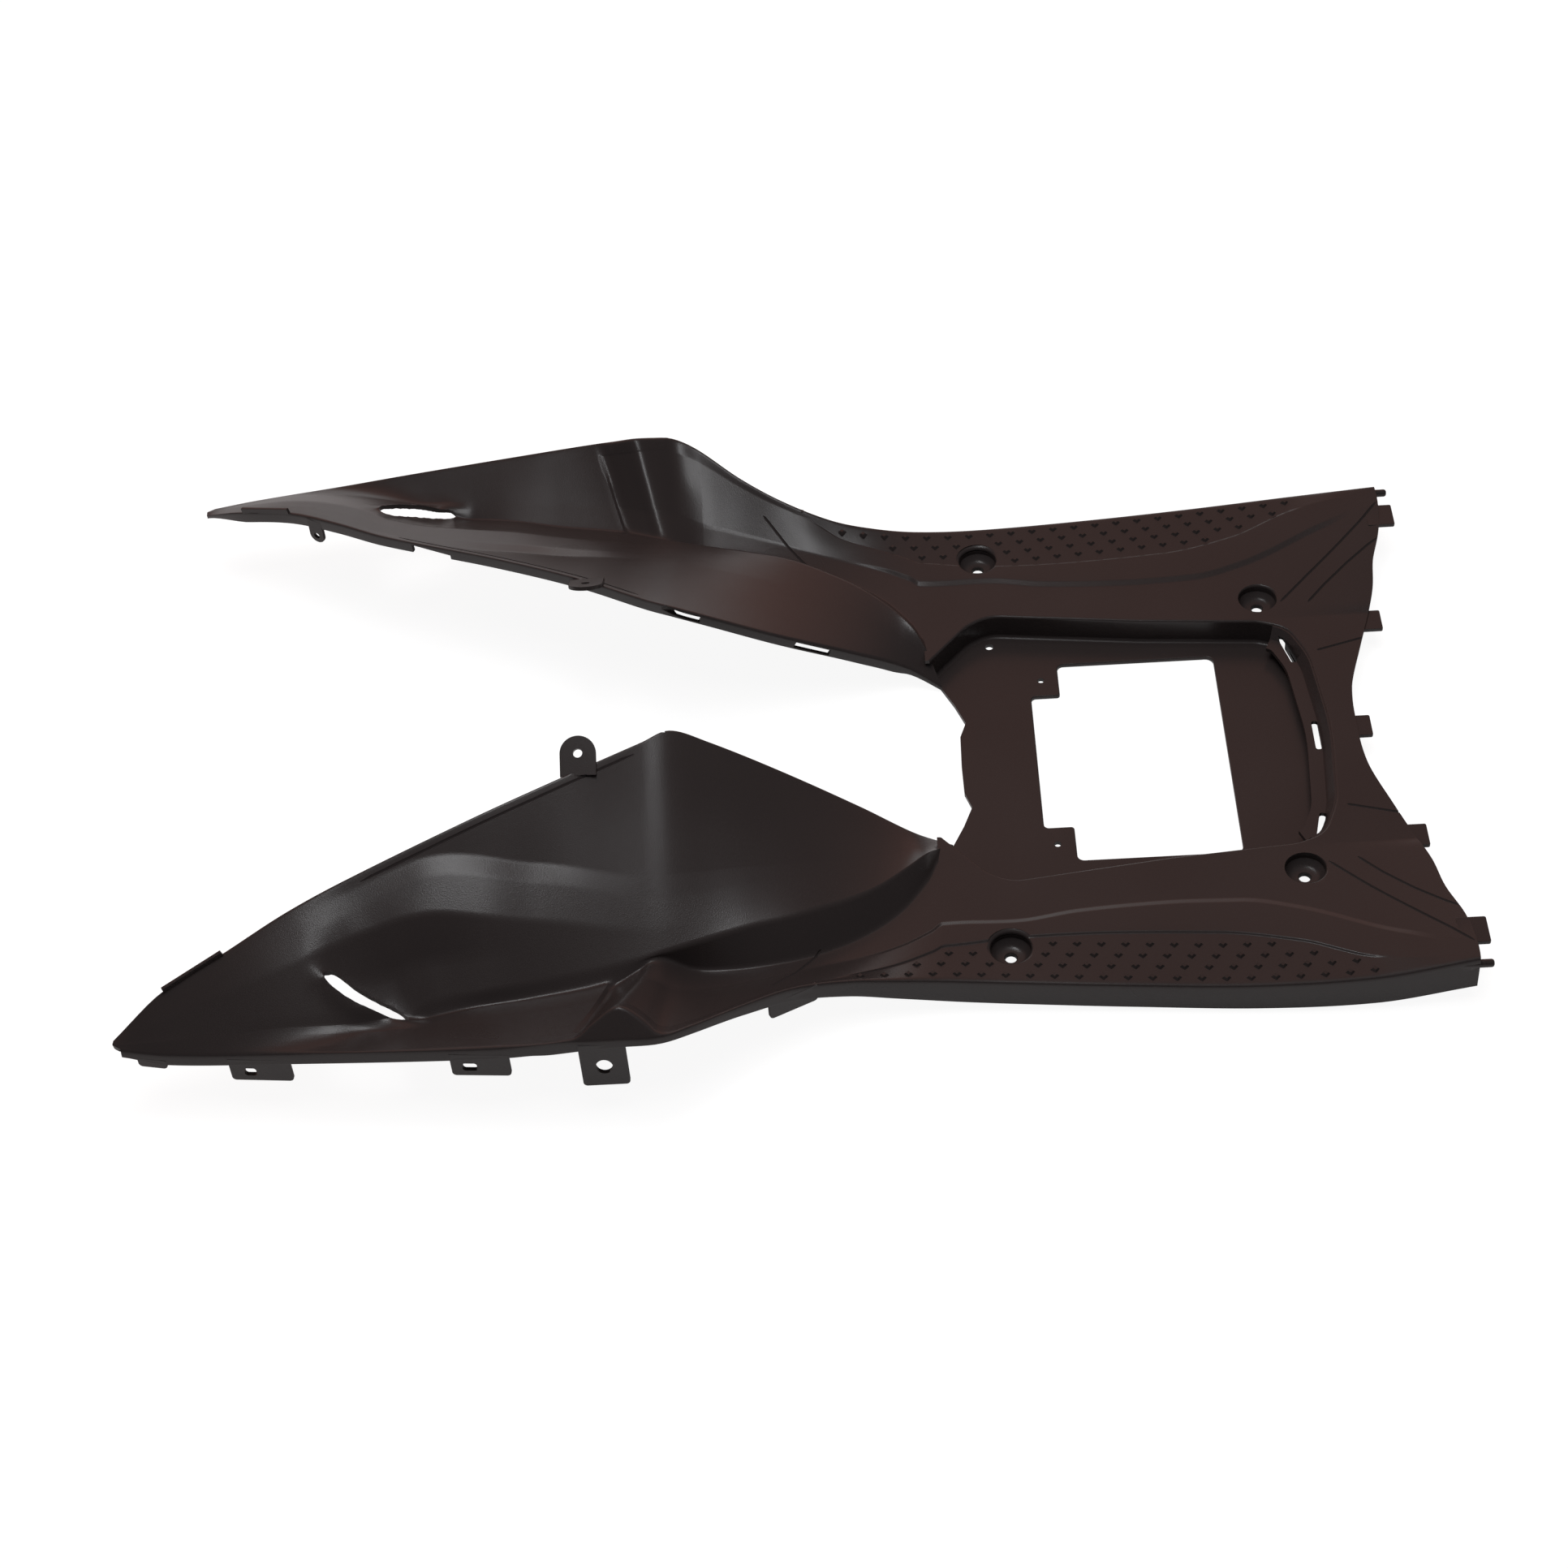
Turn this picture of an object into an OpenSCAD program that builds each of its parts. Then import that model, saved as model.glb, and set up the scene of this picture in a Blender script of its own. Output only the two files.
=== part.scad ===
// Floorboard of a motor scooter: one moulded sheet with a screwed-down deck,
// a sunken battery tray in its middle and two wings that sweep back and up.
// Frame: +X to the nose, +Y to the board's left side, +Z up.
// Origin: midway between the two outer floor screws, at the seat under their heads.
// The tables and modules below count heights from the deck, cup_depth above the seat.

/* [Board] */
// Length from the wing tips to the front corners
board_l = 762; // [710:2:820]
// Width across the widest part of the wings
board_w = 508; // [480:2:540]
// Height of the wing's inner corner over the deck
wing_h = 79; // [65:1:92]
// Thickness of the moulded wall
wall = 2.6; // [2.2:0.1:3.2]

/* [Floor screws] */
// Distance between the two outer floor screws
outer_screw_gap = 330; // [320:1:340]
// Distance between the two inner floor screws
inner_screw_gap = 230; // [222:1:236]
// Distance from the outer screws forward to the inner screws
screw_row_step = 174; // [168:1:180]
// Radius of the cup that hides the screw's head
cup_r = 11.7; // [10:0.1:12.5]
// Depth of the cup
cup_depth = 8; // [6:0.5:11]
// Radius of the hole for the screw
screw_hole_r = 3.4; // [2.6:0.1:4.2]

/* [Battery tray] */
// Depth of the tray's floor under the deck
tray_depth = 17.5; // [14:0.5:21]
// Length of the battery opening, front to back
opening_l = 98; // [90:1:104]
// Width of the battery opening
opening_w = 167; // [150:1:170]
// Width of the notch behind the opening
notch_w = 112; // [90:1:126]
// Length of the notch behind the opening
notch_l = 18; // [12:1:21]
// Radius of the holes for the lid's screws
lid_hole_r = 2.1; // [1.6:0.1:2.6]

/* [Wings] */
// Height of the flange that turns down along a wing's inner edge
flange_h = 9; // [7:0.5:11]
// Radius of the hole in a wing's inner bracket
bracket_hole_r = 3.3; // [2.6:0.1:4]
// Radius of the hole in the round-holed tab of a wing's outer edge
tab_hole_r = 4.4; // [3.4:0.1:5]
// Length that the outer edge's tabs hang under the skirt
tab_drop = 14; // [11:0.5:18]

/* [Hidden] */
plastic = [0.13, 0.13, 0.14];
// Sizes that the tables below were measured at
table_l = 762;
table_w = 508;
table_h = 79;
kx = board_l / table_l;
ky = board_w / table_w;
kz = wing_h / table_h;

// Lines that run along a wing, as [station, y, z], from the tip forward

// Inner edge of the wing
INNER = [
    [-503, 222, 27], [-476, 203, 44], [-439, 185, 56], [-407, 165, 63], [-375, 146, 66.5],
    [-302, 110, 75], [-248, 83, 78.5], [-206, 60, 78.5], [-190, 52, 79], [-169, 52.5, 69],
    [-128, 57, 46], [-82, 65, 20], [-50, 70.5, 0], [-28, 67, -16.2]
];
// Crest above the ledge
CREST = [
    [-503, 224.5, 27.4], [-476, 226, 32], [-440, 225, 36.5], [-407, 221, 37], [-375, 216, 33],
    [-338, 209, 24.5], [-327, 204, 25.5], [-295, 199, 26.4], [-268, 193, 24.6],
    [-213, 180.5, 24], [-172, 167.5, 24.4], [-145, 159, 25], [-119, 151, 23.5],
    [-92, 138.5, 19], [-74, 127, 16], [-56, 110, 13], [-44, 96, 9], [-36, 84, -0.3]
];
// Foot of the ledge, which is the deck's seam with the tray plate further forward
FOOT = [
    [-503, 225.4, 27.2], [-476, 228, 31], [-440, 228, 34.5], [-407, 225, 34.5], [-375, 221, 30],
    [-338, 213, 20.8], [-304, 206, 21], [-268, 199, 18.8], [-226, 190, 19], [-201, 177, 22],
    [-181, 171, 9], [-160, 169, 7], [-137, 166, 6], [-112, 160, 4], [-84, 147, 1],
    [-61, 131, 0], [-44, 108, 0], [-38, 96, 0], [0, 96, 0], [262, 96, 0]
];
// Outer fold, with the raised arch over the round-holed tab
FOLD = [
    [-503, 227.5, 26.9], [-472, 233.5, 27.7], [-413, 239.5, 31], [-367, 244.5, 34],
    [-290, 250.5, 39.6], [-243, 252, 44.6], [-232, 246, 50.5], [-218, 240.5, 56.5],
    [-205, 246, 51.5], [-196, 252, 45.5], [-179, 244, 41.7], [-151, 223, 32], [-124, 206.5, 24.6],
    [-93, 195.5, 15.5], [-68, 192, 10], [-40, 190.5, 6], [0, 192, 3.1], [68, 197, 1.5],
    [136, 202, 1.8], [203, 204, 6], [254, 201, 13], [262, 200.5, 14]
];
// Top of the skirt, which stays low under the arch
BASE = [
    [-503, 228.5, 25.9], [-472, 234.8, 26.4], [-413, 240.8, 29.8], [-290, 251.8, 38.3],
    [-243, 253.3, 43], [-218, 254, 44.2], [-196, 253.6, 44], [-179, 245.3, 40.4],
    [-151, 224.4, 30.7], [-124, 207.9, 23.3], [-93, 196.9, 14.2], [-68, 193.4, 8.7],
    [-40, 191.9, 4.7], [0, 193.4, 1.8], [68, 198.4, 0.2], [136, 203.4, 0.5],
    [203, 205.4, 4.7], [254, 202.4, 11.7], [262, 201.9, 12.7]
];

// Stations along the board, closer together where the shape turns
STATIONS = concat(
    [-503, -490],
    [for (x = [-476:16:-396]) x],
    [-386, -383],
    [for (x = [-370:16:-258]) x],
    [-243, -234, -228, -224, -214, -206, -198, -190, -180],
    [for (x = [-168:14:-70]) x],
    [-60, -50, -44, -38],
    [for (x = [-26:24:190]) x],
    [206, 224, 242, 262]
);
LAST = len(STATIONS) - 1;
// First station of the deck plate between the wings
JOIN = search(-38, STATIONS)[0];

// Slope of a table's column k at its row i
function slope(table, i, k) =
    let (a = max(i - 1, 0), b = min(i + 1, len(table) - 1))
    (table[b][k] - table[a][k]) / (table[b][0] - table[a][0]);

// Row of the table that starts the span holding x
function span(table, x, i = 0) =
    (i >= len(table) - 2 || x < table[i + 1][0]) ? i : span(table, x, i + 1);

// Value of column k at x, on a smooth curve through the table's points
function along(table, x, k) =
    let (
        i = span(table, x),
        w = table[i + 1][0] - table[i][0],
        t = min(max((x - table[i][0]) / w, 0), 1),
        a = table[i][k],
        b = table[i + 1][k],
        ma = slope(table, i, k) * w,
        mb = slope(table, i + 1, k) * w
    )
    a * (2 * t ^ 3 - 3 * t ^ 2 + 1) + ma * (t ^ 3 - 2 * t ^ 2 + t)
    + b * (3 * t ^ 2 - 2 * t ^ 3) + mb * (t ^ 3 - t ^ 2);

// Point of a line at x
function on_line(table, x) =
    let (z = along(table, x, 2))
    [x * kx, along(table, x, 1) * ky, z > 0 ? z * kz : z];

// How far a row leans along the board at the inner edge, the crest and the outer fold
function lean_in(x) = lookup(x, [[-60, 0], [-50, 0], [-38, 10]]);
function lean_mid(x) = lookup(x, [[-470, 0], [-386, 36], [-383, 36], [-300, 0], [-44, 0],
                                  [-38, 2]]);
function lean_out(x) = lookup(x, [[-503, 5], [-480, 0], [-290, 0], [-228, -18], [-206, -15],
                                  [-180, 0]]);

// Creases of the wing's upper face, as shares of the way from the inner edge to the crest
function crease_a(x) = lookup(x, [[-503, 0.2], [-420, 0.12], [-339, 0.10], [-268, 0.38],
                                  [-180, 0.68], [-38, 0.62]]);
function crease_b(x) = lookup(x, [[-503, 0.4], [-420, 0.28], [-339, 0.24], [-268, 0.49],
                                  [-180, 0.77], [-38, 0.75]]);
function crease_d(x) = lookup(x, [[-503, 0.7], [-420, 0.50], [-380, 0.42], [-339, 0.48],
                                  [-268, 0.70], [-180, 0.90], [-38, 0.88]]);
// Height of each crease over the straight line between edge and crest
function rise_a(x) = lookup(x, [[-503, 0], [-420, 1], [-339, -0.4], [-268, -2], [-180, -2],
                                [-100, -1], [-38, 0]]);
function rise_b(x) = lookup(x, [[-503, 0], [-420, 2], [-339, 2.2], [-268, 0.7], [-180, -0.6],
                                [-100, -0.5], [-38, 0]]);
function rise_d(x) = lookup(x, [[-503, 0], [-420, 3], [-380, 3.6], [-339, 5.2], [-268, 2.8],
                                [-180, 0.8], [-38, 0]]);
// Depth of the scoop that the crescent slot opens into
function scoop(x) = lookup(x, [[-386, 0], [-383, 4.5], [-330, 3], [-268, 0]]);

// Lines of the deck, as shares of the way from the foot to the outer fold
function step_share(x) = lookup(x, [[-503, 0.3], [-120, 0.3], [-69, 0.43], [-34, 0.5], [4, 0.49],
                                    [40, 0.42], [74, 0.385], [105, 0.37], [135, 0.375],
                                    [167, 0.45], [222, 0.7], [262, 0.85]]);
function pad_share(x) = lookup(x, [[-503, 0.75], [-126, 0.9], [-112, 0.9], [-86, 0.76],
                                   [-60, 0.72], [-30, 0.70], [3, 0.64], [63, 0.61], [118, 0.62],
                                   [163, 0.7], [206, 0.87], [262, 0.95]]);
// How late the panel rises towards the fold: 1 is straight, 3 stays flat for long
function bend(x) = lookup(x, [[-503, 1], [-240, 1.1], [-150, 1.4], [-60, 2.4], [0, 3], [100, 3],
                              [170, 1.2], [262, 0.6]]);
// Depth of the sunken field between the ledge and the arch
function sunk(x) = lookup(x, [[-228, 0], [-224, 3.4], [-208, 4.2], [-204, 2.4], [-180, 0]]);
// Rise of the deck outside its curved step, and drop of the grip pad
function step_rise(x) = lookup(x, [[-90, 0], [-50, 1.3], [215, 1.3], [245, 0]]);
function pad_drop(x) = lookup(x, [[-108, 0], [-80, 1], [195, 1], [215, 0]]);
// Height of the skirt under the fold
function skirt(x) = lookup(x, [[-503, 4], [-470, 7], [-260, 7], [-240, 8], [-196, 5], [-179, 4],
                               [-136, 7], [-100, 10], [-23, 16], [100, 17], [262, 21]]);

// Point at share s of the way between two points, lifted by dz
function between(a, b, s, dz = 0) = a + (b - a) * s + [0, 0, dz];

// Point of the outer panel between the foot a and the fold b
function panel(a, b, s, x, dz) =
    [a.x + (b.x - a.x) * s, a.y + (b.y - a.y) * s, a.z + (b.z - a.z) * s ^ bend(x) + dz];

// One row of the sheet's upper side, from the skirt inwards to the flange
function row(x) =
    let (
        u = on_line(INNER, x + lean_in(x)),
        c = on_line(CREST, x + lean_mid(x)),
        v = on_line(FOOT, x > -44 ? x : x + lean_mid(x)),
        o = on_line(FOLD, x + lean_out(x)),
        base = on_line(BASE, x + lean_out(x)),
        d = between(u, c, crease_d(x), rise_d(x)),
        s = step_share(x),
        p = pad_share(x),
        low = -sunk(x),
        up = step_rise(x),
        h = skirt(x)
    )
    [
        base + [0, 0.8, -h],
        base,
        o,
        panel(v, o, p + 0.03, x, low * 0.3 + up - pad_drop(x)),
        panel(v, o, p, x, low * 0.4 + up),
        panel(v, o, s + 0.04, x, low + up),
        panel(v, o, s, x, low),
        panel(v, o, 0.06, x, low),
        v,
        c,
        between(d, c, 0.5, -scoop(x)),
        d,
        between(u, c, crease_b(x), rise_b(x)),
        between(u, c, crease_a(x), rise_a(x)),
        u,
        u + [0, 0.6, -lookup(x, [[-503, 3], [-470, flange_h], [-60, flange_h], [-38, 3.6]])]
    ];

// Way from the upper to the lower side of the sheet, for each column of a row
THROUGH = [
    [0, -1, 0.1], [0, -1, -0.5], [0, -0.6, -1.1], [0, 0, -1.1], [0, 0, -1.1], [0, 0, -1.1],
    [0, 0, -1.1], [0, -0.1, -1.1], [0, -0.5, -1], [0, -0.7, -1.1], [0, -0.3, -1.1],
    [0, -0.2, -1.1], [0, -0.2, -1.1], [0, -0.1, -1.1], [0, 1, -1.1], [0, 1, 0.1]
];
COLUMNS = len(THROUGH);
// Column of the foot, where the side meets the plate
FOOT_AT = floor(COLUMNS / 2);

function flip(p) = [p.x, -p.y, p.z];

// The moulded sheet as one closed surface: two sides and the plate between them
module sheet() {
    top = [for (x = STATIONS) row(x)];
    low = [for (r = top) [for (j = [0:COLUMNS - 1]) r[j] + THROUGH[j] * wall]];
    left_top = [for (r = top) for (p = r) p];
    left_low = [for (r = low) for (p = r) p];
    count = len(left_top);
    points = concat(left_top, left_low, [for (p = left_top) flip(p)], [for (p = left_low) flip(p)]);
    // Index of a point: side 0 is left and 1 is right, layer 0 is the top and 1 is the underside
    function at(side, layer, i, j) = (side * 2 + layer) * count + i * COLUMNS + j;
    // Four corners as two triangles, turned over where asked
    function four(a, b, c, d, turn) =
        turn ? [[a, b, c], [a, c, d]] : [[a, d, c], [a, c, b]];
    cells = [for (i = [0:LAST - 1]) for (j = [0:COLUMNS - 2]) if (j < FOOT_AT || i < JOIN) [i, j]];
    skin = [for (side = [0, 1]) for (q = cells) for (layer = [0, 1])
        for (f = four(at(side, layer, q[0], q[1]), at(side, layer, q[0], q[1] + 1),
                      at(side, layer, q[0] + 1, q[1] + 1), at(side, layer, q[0] + 1, q[1]),
                      side != layer)) f];
    plate = [for (i = [JOIN:LAST - 1]) for (layer = [0, 1])
        for (f = four(at(0, layer, i, FOOT_AT), at(1, layer, i, FOOT_AT), at(1, layer, i + 1, FOOT_AT),
                      at(0, layer, i + 1, FOOT_AT), layer == 1)) f];
    // Edges that close the sheet, as pairs of [i, j]
    rims = concat(
        [for (i = [0:LAST - 1]) [[i + 1, 0], [i, 0]]],
        [for (j = [0:COLUMNS - 2]) [[0, j], [0, j + 1]]],
        [for (i = [0:JOIN - 1]) [[i, COLUMNS - 1], [i + 1, COLUMNS - 1]]],
        [for (j = [COLUMNS - 1:-1:FOOT_AT + 1]) [[JOIN, j], [JOIN, j - 1]]],
        [for (j = [FOOT_AT:-1:1]) [[LAST, j], [LAST, j - 1]]]
    );
    walls = [for (side = [0, 1]) for (e = rims)
        for (f = four(at(side, 0, e[0][0], e[0][1]), at(side, 1, e[0][0], e[0][1]),
                      at(side, 1, e[1][0], e[1][1]), at(side, 0, e[1][0], e[1][1]), side == 1)) f];
    ends = [for (i = [JOIN, LAST])
        for (f = four(at(0, 0, i, FOOT_AT), at(0, 1, i, FOOT_AT), at(1, 1, i, FOOT_AT), at(1, 0, i, FOOT_AT),
                      i == LAST)) f];
    polyhedron(points, concat(skin, plate, walls, ends), convexity = 10);
}

// Front edge of the deck, as [y, x], from the middle outwards
NOSE = [[0, 220], [20, 220.5], [38, 223], [68, 232], [114, 246], [140, 250], [165, 257],
        [190, 259.5], [212, 258]];

// Outline of the sunken tray, left half, from its open rear round to the front wall
TRAY_HALF = [[-60, 66], [-38, 66], [-36, 74], [-11, 104], [3, 113], [97, 101], [170, 89],
             [190, 74], [201, 44], [204.5, 0]];
TRAY_ROUND = [0, 0, 0, 24, 24, 0, 24, 40, 80, 200];
// Rear edge of the tray's floor, left half
TRAY_REAR = [[-19.5, 0], [-19, 24], [-15, 36], [-21, 52], [-28, 67], [-33, 78]];

function unit(v) = v / norm(v);

// Points of a closed outline whose corners are rounded by the radii r
function rounded(points, r, n = 5) =
    let (m = len(points))
    [for (i = [0:m - 1])
        let (
            b = points[i],
            u = unit(points[(i + m - 1) % m] - b),
            v = unit(points[(i + 1) % m] - b),
            half = acos(max(min(u * v, 1), -1)) / 2,
            mid = b + unit(u + v) * r[i] / sin(half),
            p = b + u * r[i] / tan(half) - mid,
            q = b + v * r[i] / tan(half) - mid
        )
        each (r[i] == 0 || half > 89) ? [b]
            : [for (k = [0:n]) mid + unit(p * (1 - k / n) + q * k / n) * r[i]]
    ];

// Closed outline moved outwards by d, for points that run clockwise
function grown(points, d) =
    let (m = len(points))
    [for (i = [0:m - 1])
        let (
            e = unit(points[i] - points[(i + m - 1) % m]),
            f = unit(points[(i + 1) % m] - points[i]),
            a = [-e.y, e.x],
            b = [-f.y, f.x]
        )
        points[i] + (a + b) * d / (1 + a * b)
    ];

function mirrored(points) = [for (i = [len(points) - 1:-1:0]) [points[i].x, -points[i].y]];
function fitted(points) = [for (p = points) [p.x * kx, p.y * ky]];

tray_line = rounded(fitted(concat(TRAY_HALF, mirrored([for (i = [0:8]) TRAY_HALF[i]]))),
                    concat(TRAY_ROUND, [for (i = [8:-1:0]) TRAY_ROUND[i]]));

// Height of the deck's upper side at the front, under the clips
clip_z = -1;

module both_sides() {
    children();
    mirror([0, 1, 0]) children();
}

// Vertical plate with the outline's shape between two heights
module slab(outline, z0, z1) {
    translate([0, 0, z0]) linear_extrude(height = z1 - z0) polygon(outline);
}

// Everything ahead of the nose's edge
module beyond_nose() {
    side = [for (y = [0:12:212]) [along(NOSE, y, 1) * kx, y * ky]];
    far = 300 * kx;
    slab(concat([[far, -240 * ky]], [for (i = [len(side) - 1:-1:1]) [side[i].x, -side[i].y]], side,
                [[side[len(side) - 1].x, 240 * ky], [far, 240 * ky]]), -40, 60);
}

// Floor of the tray with its open rear edge
module tray_floor() {
    rear = fitted(TRAY_REAR);
    front = [for (p = grown(tray_line, wall * 0.9)) if (p.x > -30 * kx) p];
    slab(concat(rear, front, mirrored([for (i = [1:len(rear) - 1]) rear[i]])),
         -tray_depth - wall, -tray_depth);
}

// Wall round the tray, from the floor up into the deck
module tray_wall() {
    difference() {
        slab(grown(tray_line, wall), -tray_depth - wall, -0.8);
        slab(tray_line, -tray_depth - wall - 1, 0);
        translate([-100 * kx, -100 * ky, -50]) cube([62 * kx, 200 * ky, 60]);
    }
}

// Ledge along the tray's front wall that holds the lid's three tongues
module tray_ledge() {
    difference() {
        slab(grown(tray_line, wall * 0.5), -8 - wall, -8);
        slab(grown(tray_line, -14), -30, 0);
        translate([-100 * kx, -150 * ky, -50]) cube([268 * kx, 300 * ky, 60]);
    }
}

// Openings of the ledge for the lid's tongues
module ledge_slots() {
    for (s = [[196, 0, 0], [187, 71, 30], [187, -71, -30]])
        translate([s.x * kx, s.y * ky, -9]) rotate([0, 0, s.z]) cube([3.6, 20, 20], center = true);
}

// Opening for the battery, with the notch behind it
module battery_opening() {
    x0 = 45 * kx;
    line = [
        [x0 - notch_l, 0], [x0 - notch_l, notch_w / 2], [x0, notch_w / 2], [x0, opening_w / 2],
        [x0 + opening_l, opening_w / 2], [x0 + opening_l, 0]
    ];
    slab(rounded(concat(line, mirrored([for (i = [1:4]) line[i]])),
                 [0, 3, 2, 4, 5, 0, 5, 4, 2, 3]), -30, 5);
}

// Centres of the four floor screws
screw_spots = [
    [0, outer_screw_gap / 2], [0, -outer_screw_gap / 2],
    [screw_row_step, inner_screw_gap / 2], [screw_row_step, -inner_screw_gap / 2]
];

module screw_cups() {
    for (p = screw_spots)
        translate([p.x, p.y, -cup_depth - 3]) cylinder(h = cup_depth + 2.2, r = cup_r + 2.2, $fn = 64);
}

module screw_holes() {
    for (p = screw_spots) translate([p.x, p.y, 0]) {
        translate([0, 0, -cup_depth * 0.5]) cylinder(h = 20, r = cup_r, $fn = 64);
        translate([0, 0, -cup_depth])
            cylinder(h = cup_depth * 0.5 + 0.01, r1 = cup_r * 0.62, r2 = cup_r, $fn = 64);
        translate([0, 0, -cup_depth - 12]) cylinder(h = 14, r = screw_hole_r, $fn = 48);
    }
}

// Holes of the tray's floor: for the lid's screws and for the drain
module tray_holes() {
    both_sides() {
        translate([34 * kx, 70 * ky, -30]) cylinder(h = 20, r = lid_hole_r, $fn = 32);
        translate([3.6 * kx, 103 * ky, -30]) cylinder(h = 20, r = 2.6, $fn = 32);
    }
}

// Direction of the board's outer edge at x, seen from above
function edge_angle(x) =
    atan2((along(BASE, x + 6, 1) - along(BASE, x - 6, 1)) * ky, 12 * kx);

// Flat tab that hangs from the skirt at x
module skirt_tab(x, w, drop, turn = true) {
    p = on_line(BASE, x);
    translate(p) rotate([0, 0, turn ? edge_angle(x) : 0])
        translate([-w / 2, 0.5 - wall, -skirt(x) - drop]) cube([w, wall, skirt(x) + drop - 3]);
}

// Cut through a skirt tab: a slot w long, or a round hole where w is 0
module tab_opening(x, dx, below, r, w, turn = true) {
    p = on_line(BASE, x);
    translate(p) rotate([0, 0, turn ? edge_angle(x) : 0]) translate([dx, 10, -skirt(x) - below])
        rotate([90, 0, 0]) {
            cylinder(h = 20, r = r, $fn = 40);
            if (w > 0) {
                translate([w, 0, 0]) cylinder(h = 20, r = r, $fn = 40);
                translate([0, -r, 0]) cube([w, 2 * r, 20]);
            }
        }
}

module skirt_tabs() {
    skirt_tab(-481, 17, 4);
    skirt_tab(-420, 35, tab_drop);
    skirt_tab(-296, 33, tab_drop);
    skirt_tab(-228, 26, tab_drop + 16, false);
    skirt_tab(-124, 30, tab_drop * 0.55);
}

module tab_openings() {
    tab_opening(-420, -9, 5, 1.7, 6);
    tab_opening(-296, -8, 5, 1.7, 6);
    tab_opening(-228, 0, tab_drop, tab_hole_r, 0, false);
}

// Lug with a hole that leans up from a wing's inner edge
bracket_x = -242;
bracket_lean = 30;
module at_bracket() {
    p = on_line(INNER, bracket_x);
    translate([p.x, p.y, p.z - 2.2]) rotate([-bracket_lean, 0, 0]) translate([0, -10, 0]) children();
}

module bracket() {
    at_bracket() {
        cylinder(h = wall, r = 10.5, $fn = 48);
        translate([-10.5, 0, 0]) cube([21, 13.5, wall]);
    }
}

module bracket_hole() {
    at_bracket() translate([0, 0, -5]) cylinder(h = 12, r = bracket_hole_r, $fn = 40);
}

// Windows in the flange of a wing's inner edge
module flange_windows() {
    for (x = [-183, -106]) {
        p = on_line(INNER, x);
        q = on_line(INNER, x + 6);
        translate([p.x, p.y, p.z - flange_h * 0.56]) rotate([0, atan2(p.z - q.z, q.x - p.x), 0])
            translate([0, -0.5, 0]) cube([21, 7, flange_h * 0.5], center = true);
    }
    g = on_line(INNER, -343);
    translate([g.x, g.y, g.z - flange_h * 0.5 - 4.6]) rotate([0, 0, -28])
        translate([0, -0.5, 0]) cube([28, 7, flange_h + 1.4], center = true);
}

// Crescent slot, as a closed outline on a chord between two points
module crescent() {
    a = [-382, 192];
    b = [-343, 211];
    out = unit([-(b - a).y, (b - a).x]);
    belly = [for (t = [0:0.125:1])
        a + (b - a) * t + out * (3.2 * (1 - t) + 5 * 4 * t * (1 - t) * (1.3 - t))];
    back = [for (t = [1:-0.125:0])
        a + (b - a) * t + out * (-1.6 * (1 - t) + 1.2 * 4 * t * (1 - t))];
    slab(fitted(concat(belly, back)), 5, 90);
}

// Clips that reach forward from the deck's nose into the leg shield
module nose_clips() {
    for (c = [[0, 0, 17], [92, 0, 17], [177, 11.6, 19]]) {
        x = along(NOSE, c.x, 1) * kx;
        for (side = c.x == 0 ? [1] : [1, -1])
            translate([x - 8, side * c.x * ky - c.z / 2, clip_z + c.y - wall - 0.4])
                cube([17, c.z, wall]);
    }
}

// Round peg at each front corner, in the skirt
module corner_pegs() {
    both_sides() {
        p = on_line(FOLD, 256);
        translate([250 * kx, p.y - 0.4, 8]) rotate([0, 90, 0]) cylinder(h = 17, r = 2.4, $fn = 32);
    }
}

// Proud lip on a wing's inner edge, near its tip
module tip_lip() {
    a = on_line(INNER, -474);
    b = on_line(INNER, -441);
    hull() {
        translate(a + [0, 0.4, -3]) cube([2, 2, 6]);
        translate(b + [0, 0.4, -3]) cube([2, 2, 6]);
    }
}

// Hanging tab with a hole under the inner edge, near the tip
hanger_x = -422;
module at_hanger() {
    p = on_line(INNER, hanger_x);
    translate([p.x, p.y + 1.2, p.z - 15]) rotate([0, 0, -30]) children();
}

module hanger() {
    at_hanger() {
        rotate([90, 0, 0]) cylinder(h = 2.2, r = 5.5, center = true, $fn = 40);
        translate([-5.5, -1.1, 0]) cube([11, 2.2, 12.5]);
    }
}

module hanger_hole() {
    at_hanger() rotate([90, 0, 0]) cylinder(h = 12, r = 2.2, center = true, $fn = 32);
}

// Upright rib under the deck, from the tray's wall out to the skirt
module deck_rib(x) {
    p = on_line(FOLD, x);
    inner = 99 * ky;
    translate([x * kx + 0.9, 0, 0]) rotate([90, 0, -90]) linear_extrude(height = 1.8)
        polygon([[-inner, -10], [-inner, -1.3], [-150 * ky, -0.8], [2 - p.y, p.z - 1.5],
                 [2 - p.y, -10]]);
}

module deck_ribs() {
    both_sides() for (x = [48, 92]) deck_rib(x);
    translate([211 * kx - 0.9, -84 * ky, -10]) cube([1.8, 168 * ky, 8.8]);
}

module floorboard() {
    color(plastic) translate([0, 0, cup_depth]) difference() {
        union() {
            difference() {
                sheet();
                slab(tray_line, -wall - 0.6, 2);
                beyond_nose();
            }
            tray_floor();
            tray_wall();
            tray_ledge();
            screw_cups();
            nose_clips();
            corner_pegs();
            deck_ribs();
            both_sides() {
                skirt_tabs();
                bracket();
                tip_lip();
                hanger();
            }
        }
        ledge_slots();
        battery_opening();
        screw_holes();
        tray_holes();
        both_sides() {
            tab_openings();
            bracket_hole();
            hanger_hole();
            flange_windows();
            crescent();
        }
    }
}

floorboard();
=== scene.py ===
"""Looks of a scooter floorboard: its moulded shell, grip marks, plastic and a plain studio."""

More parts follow.
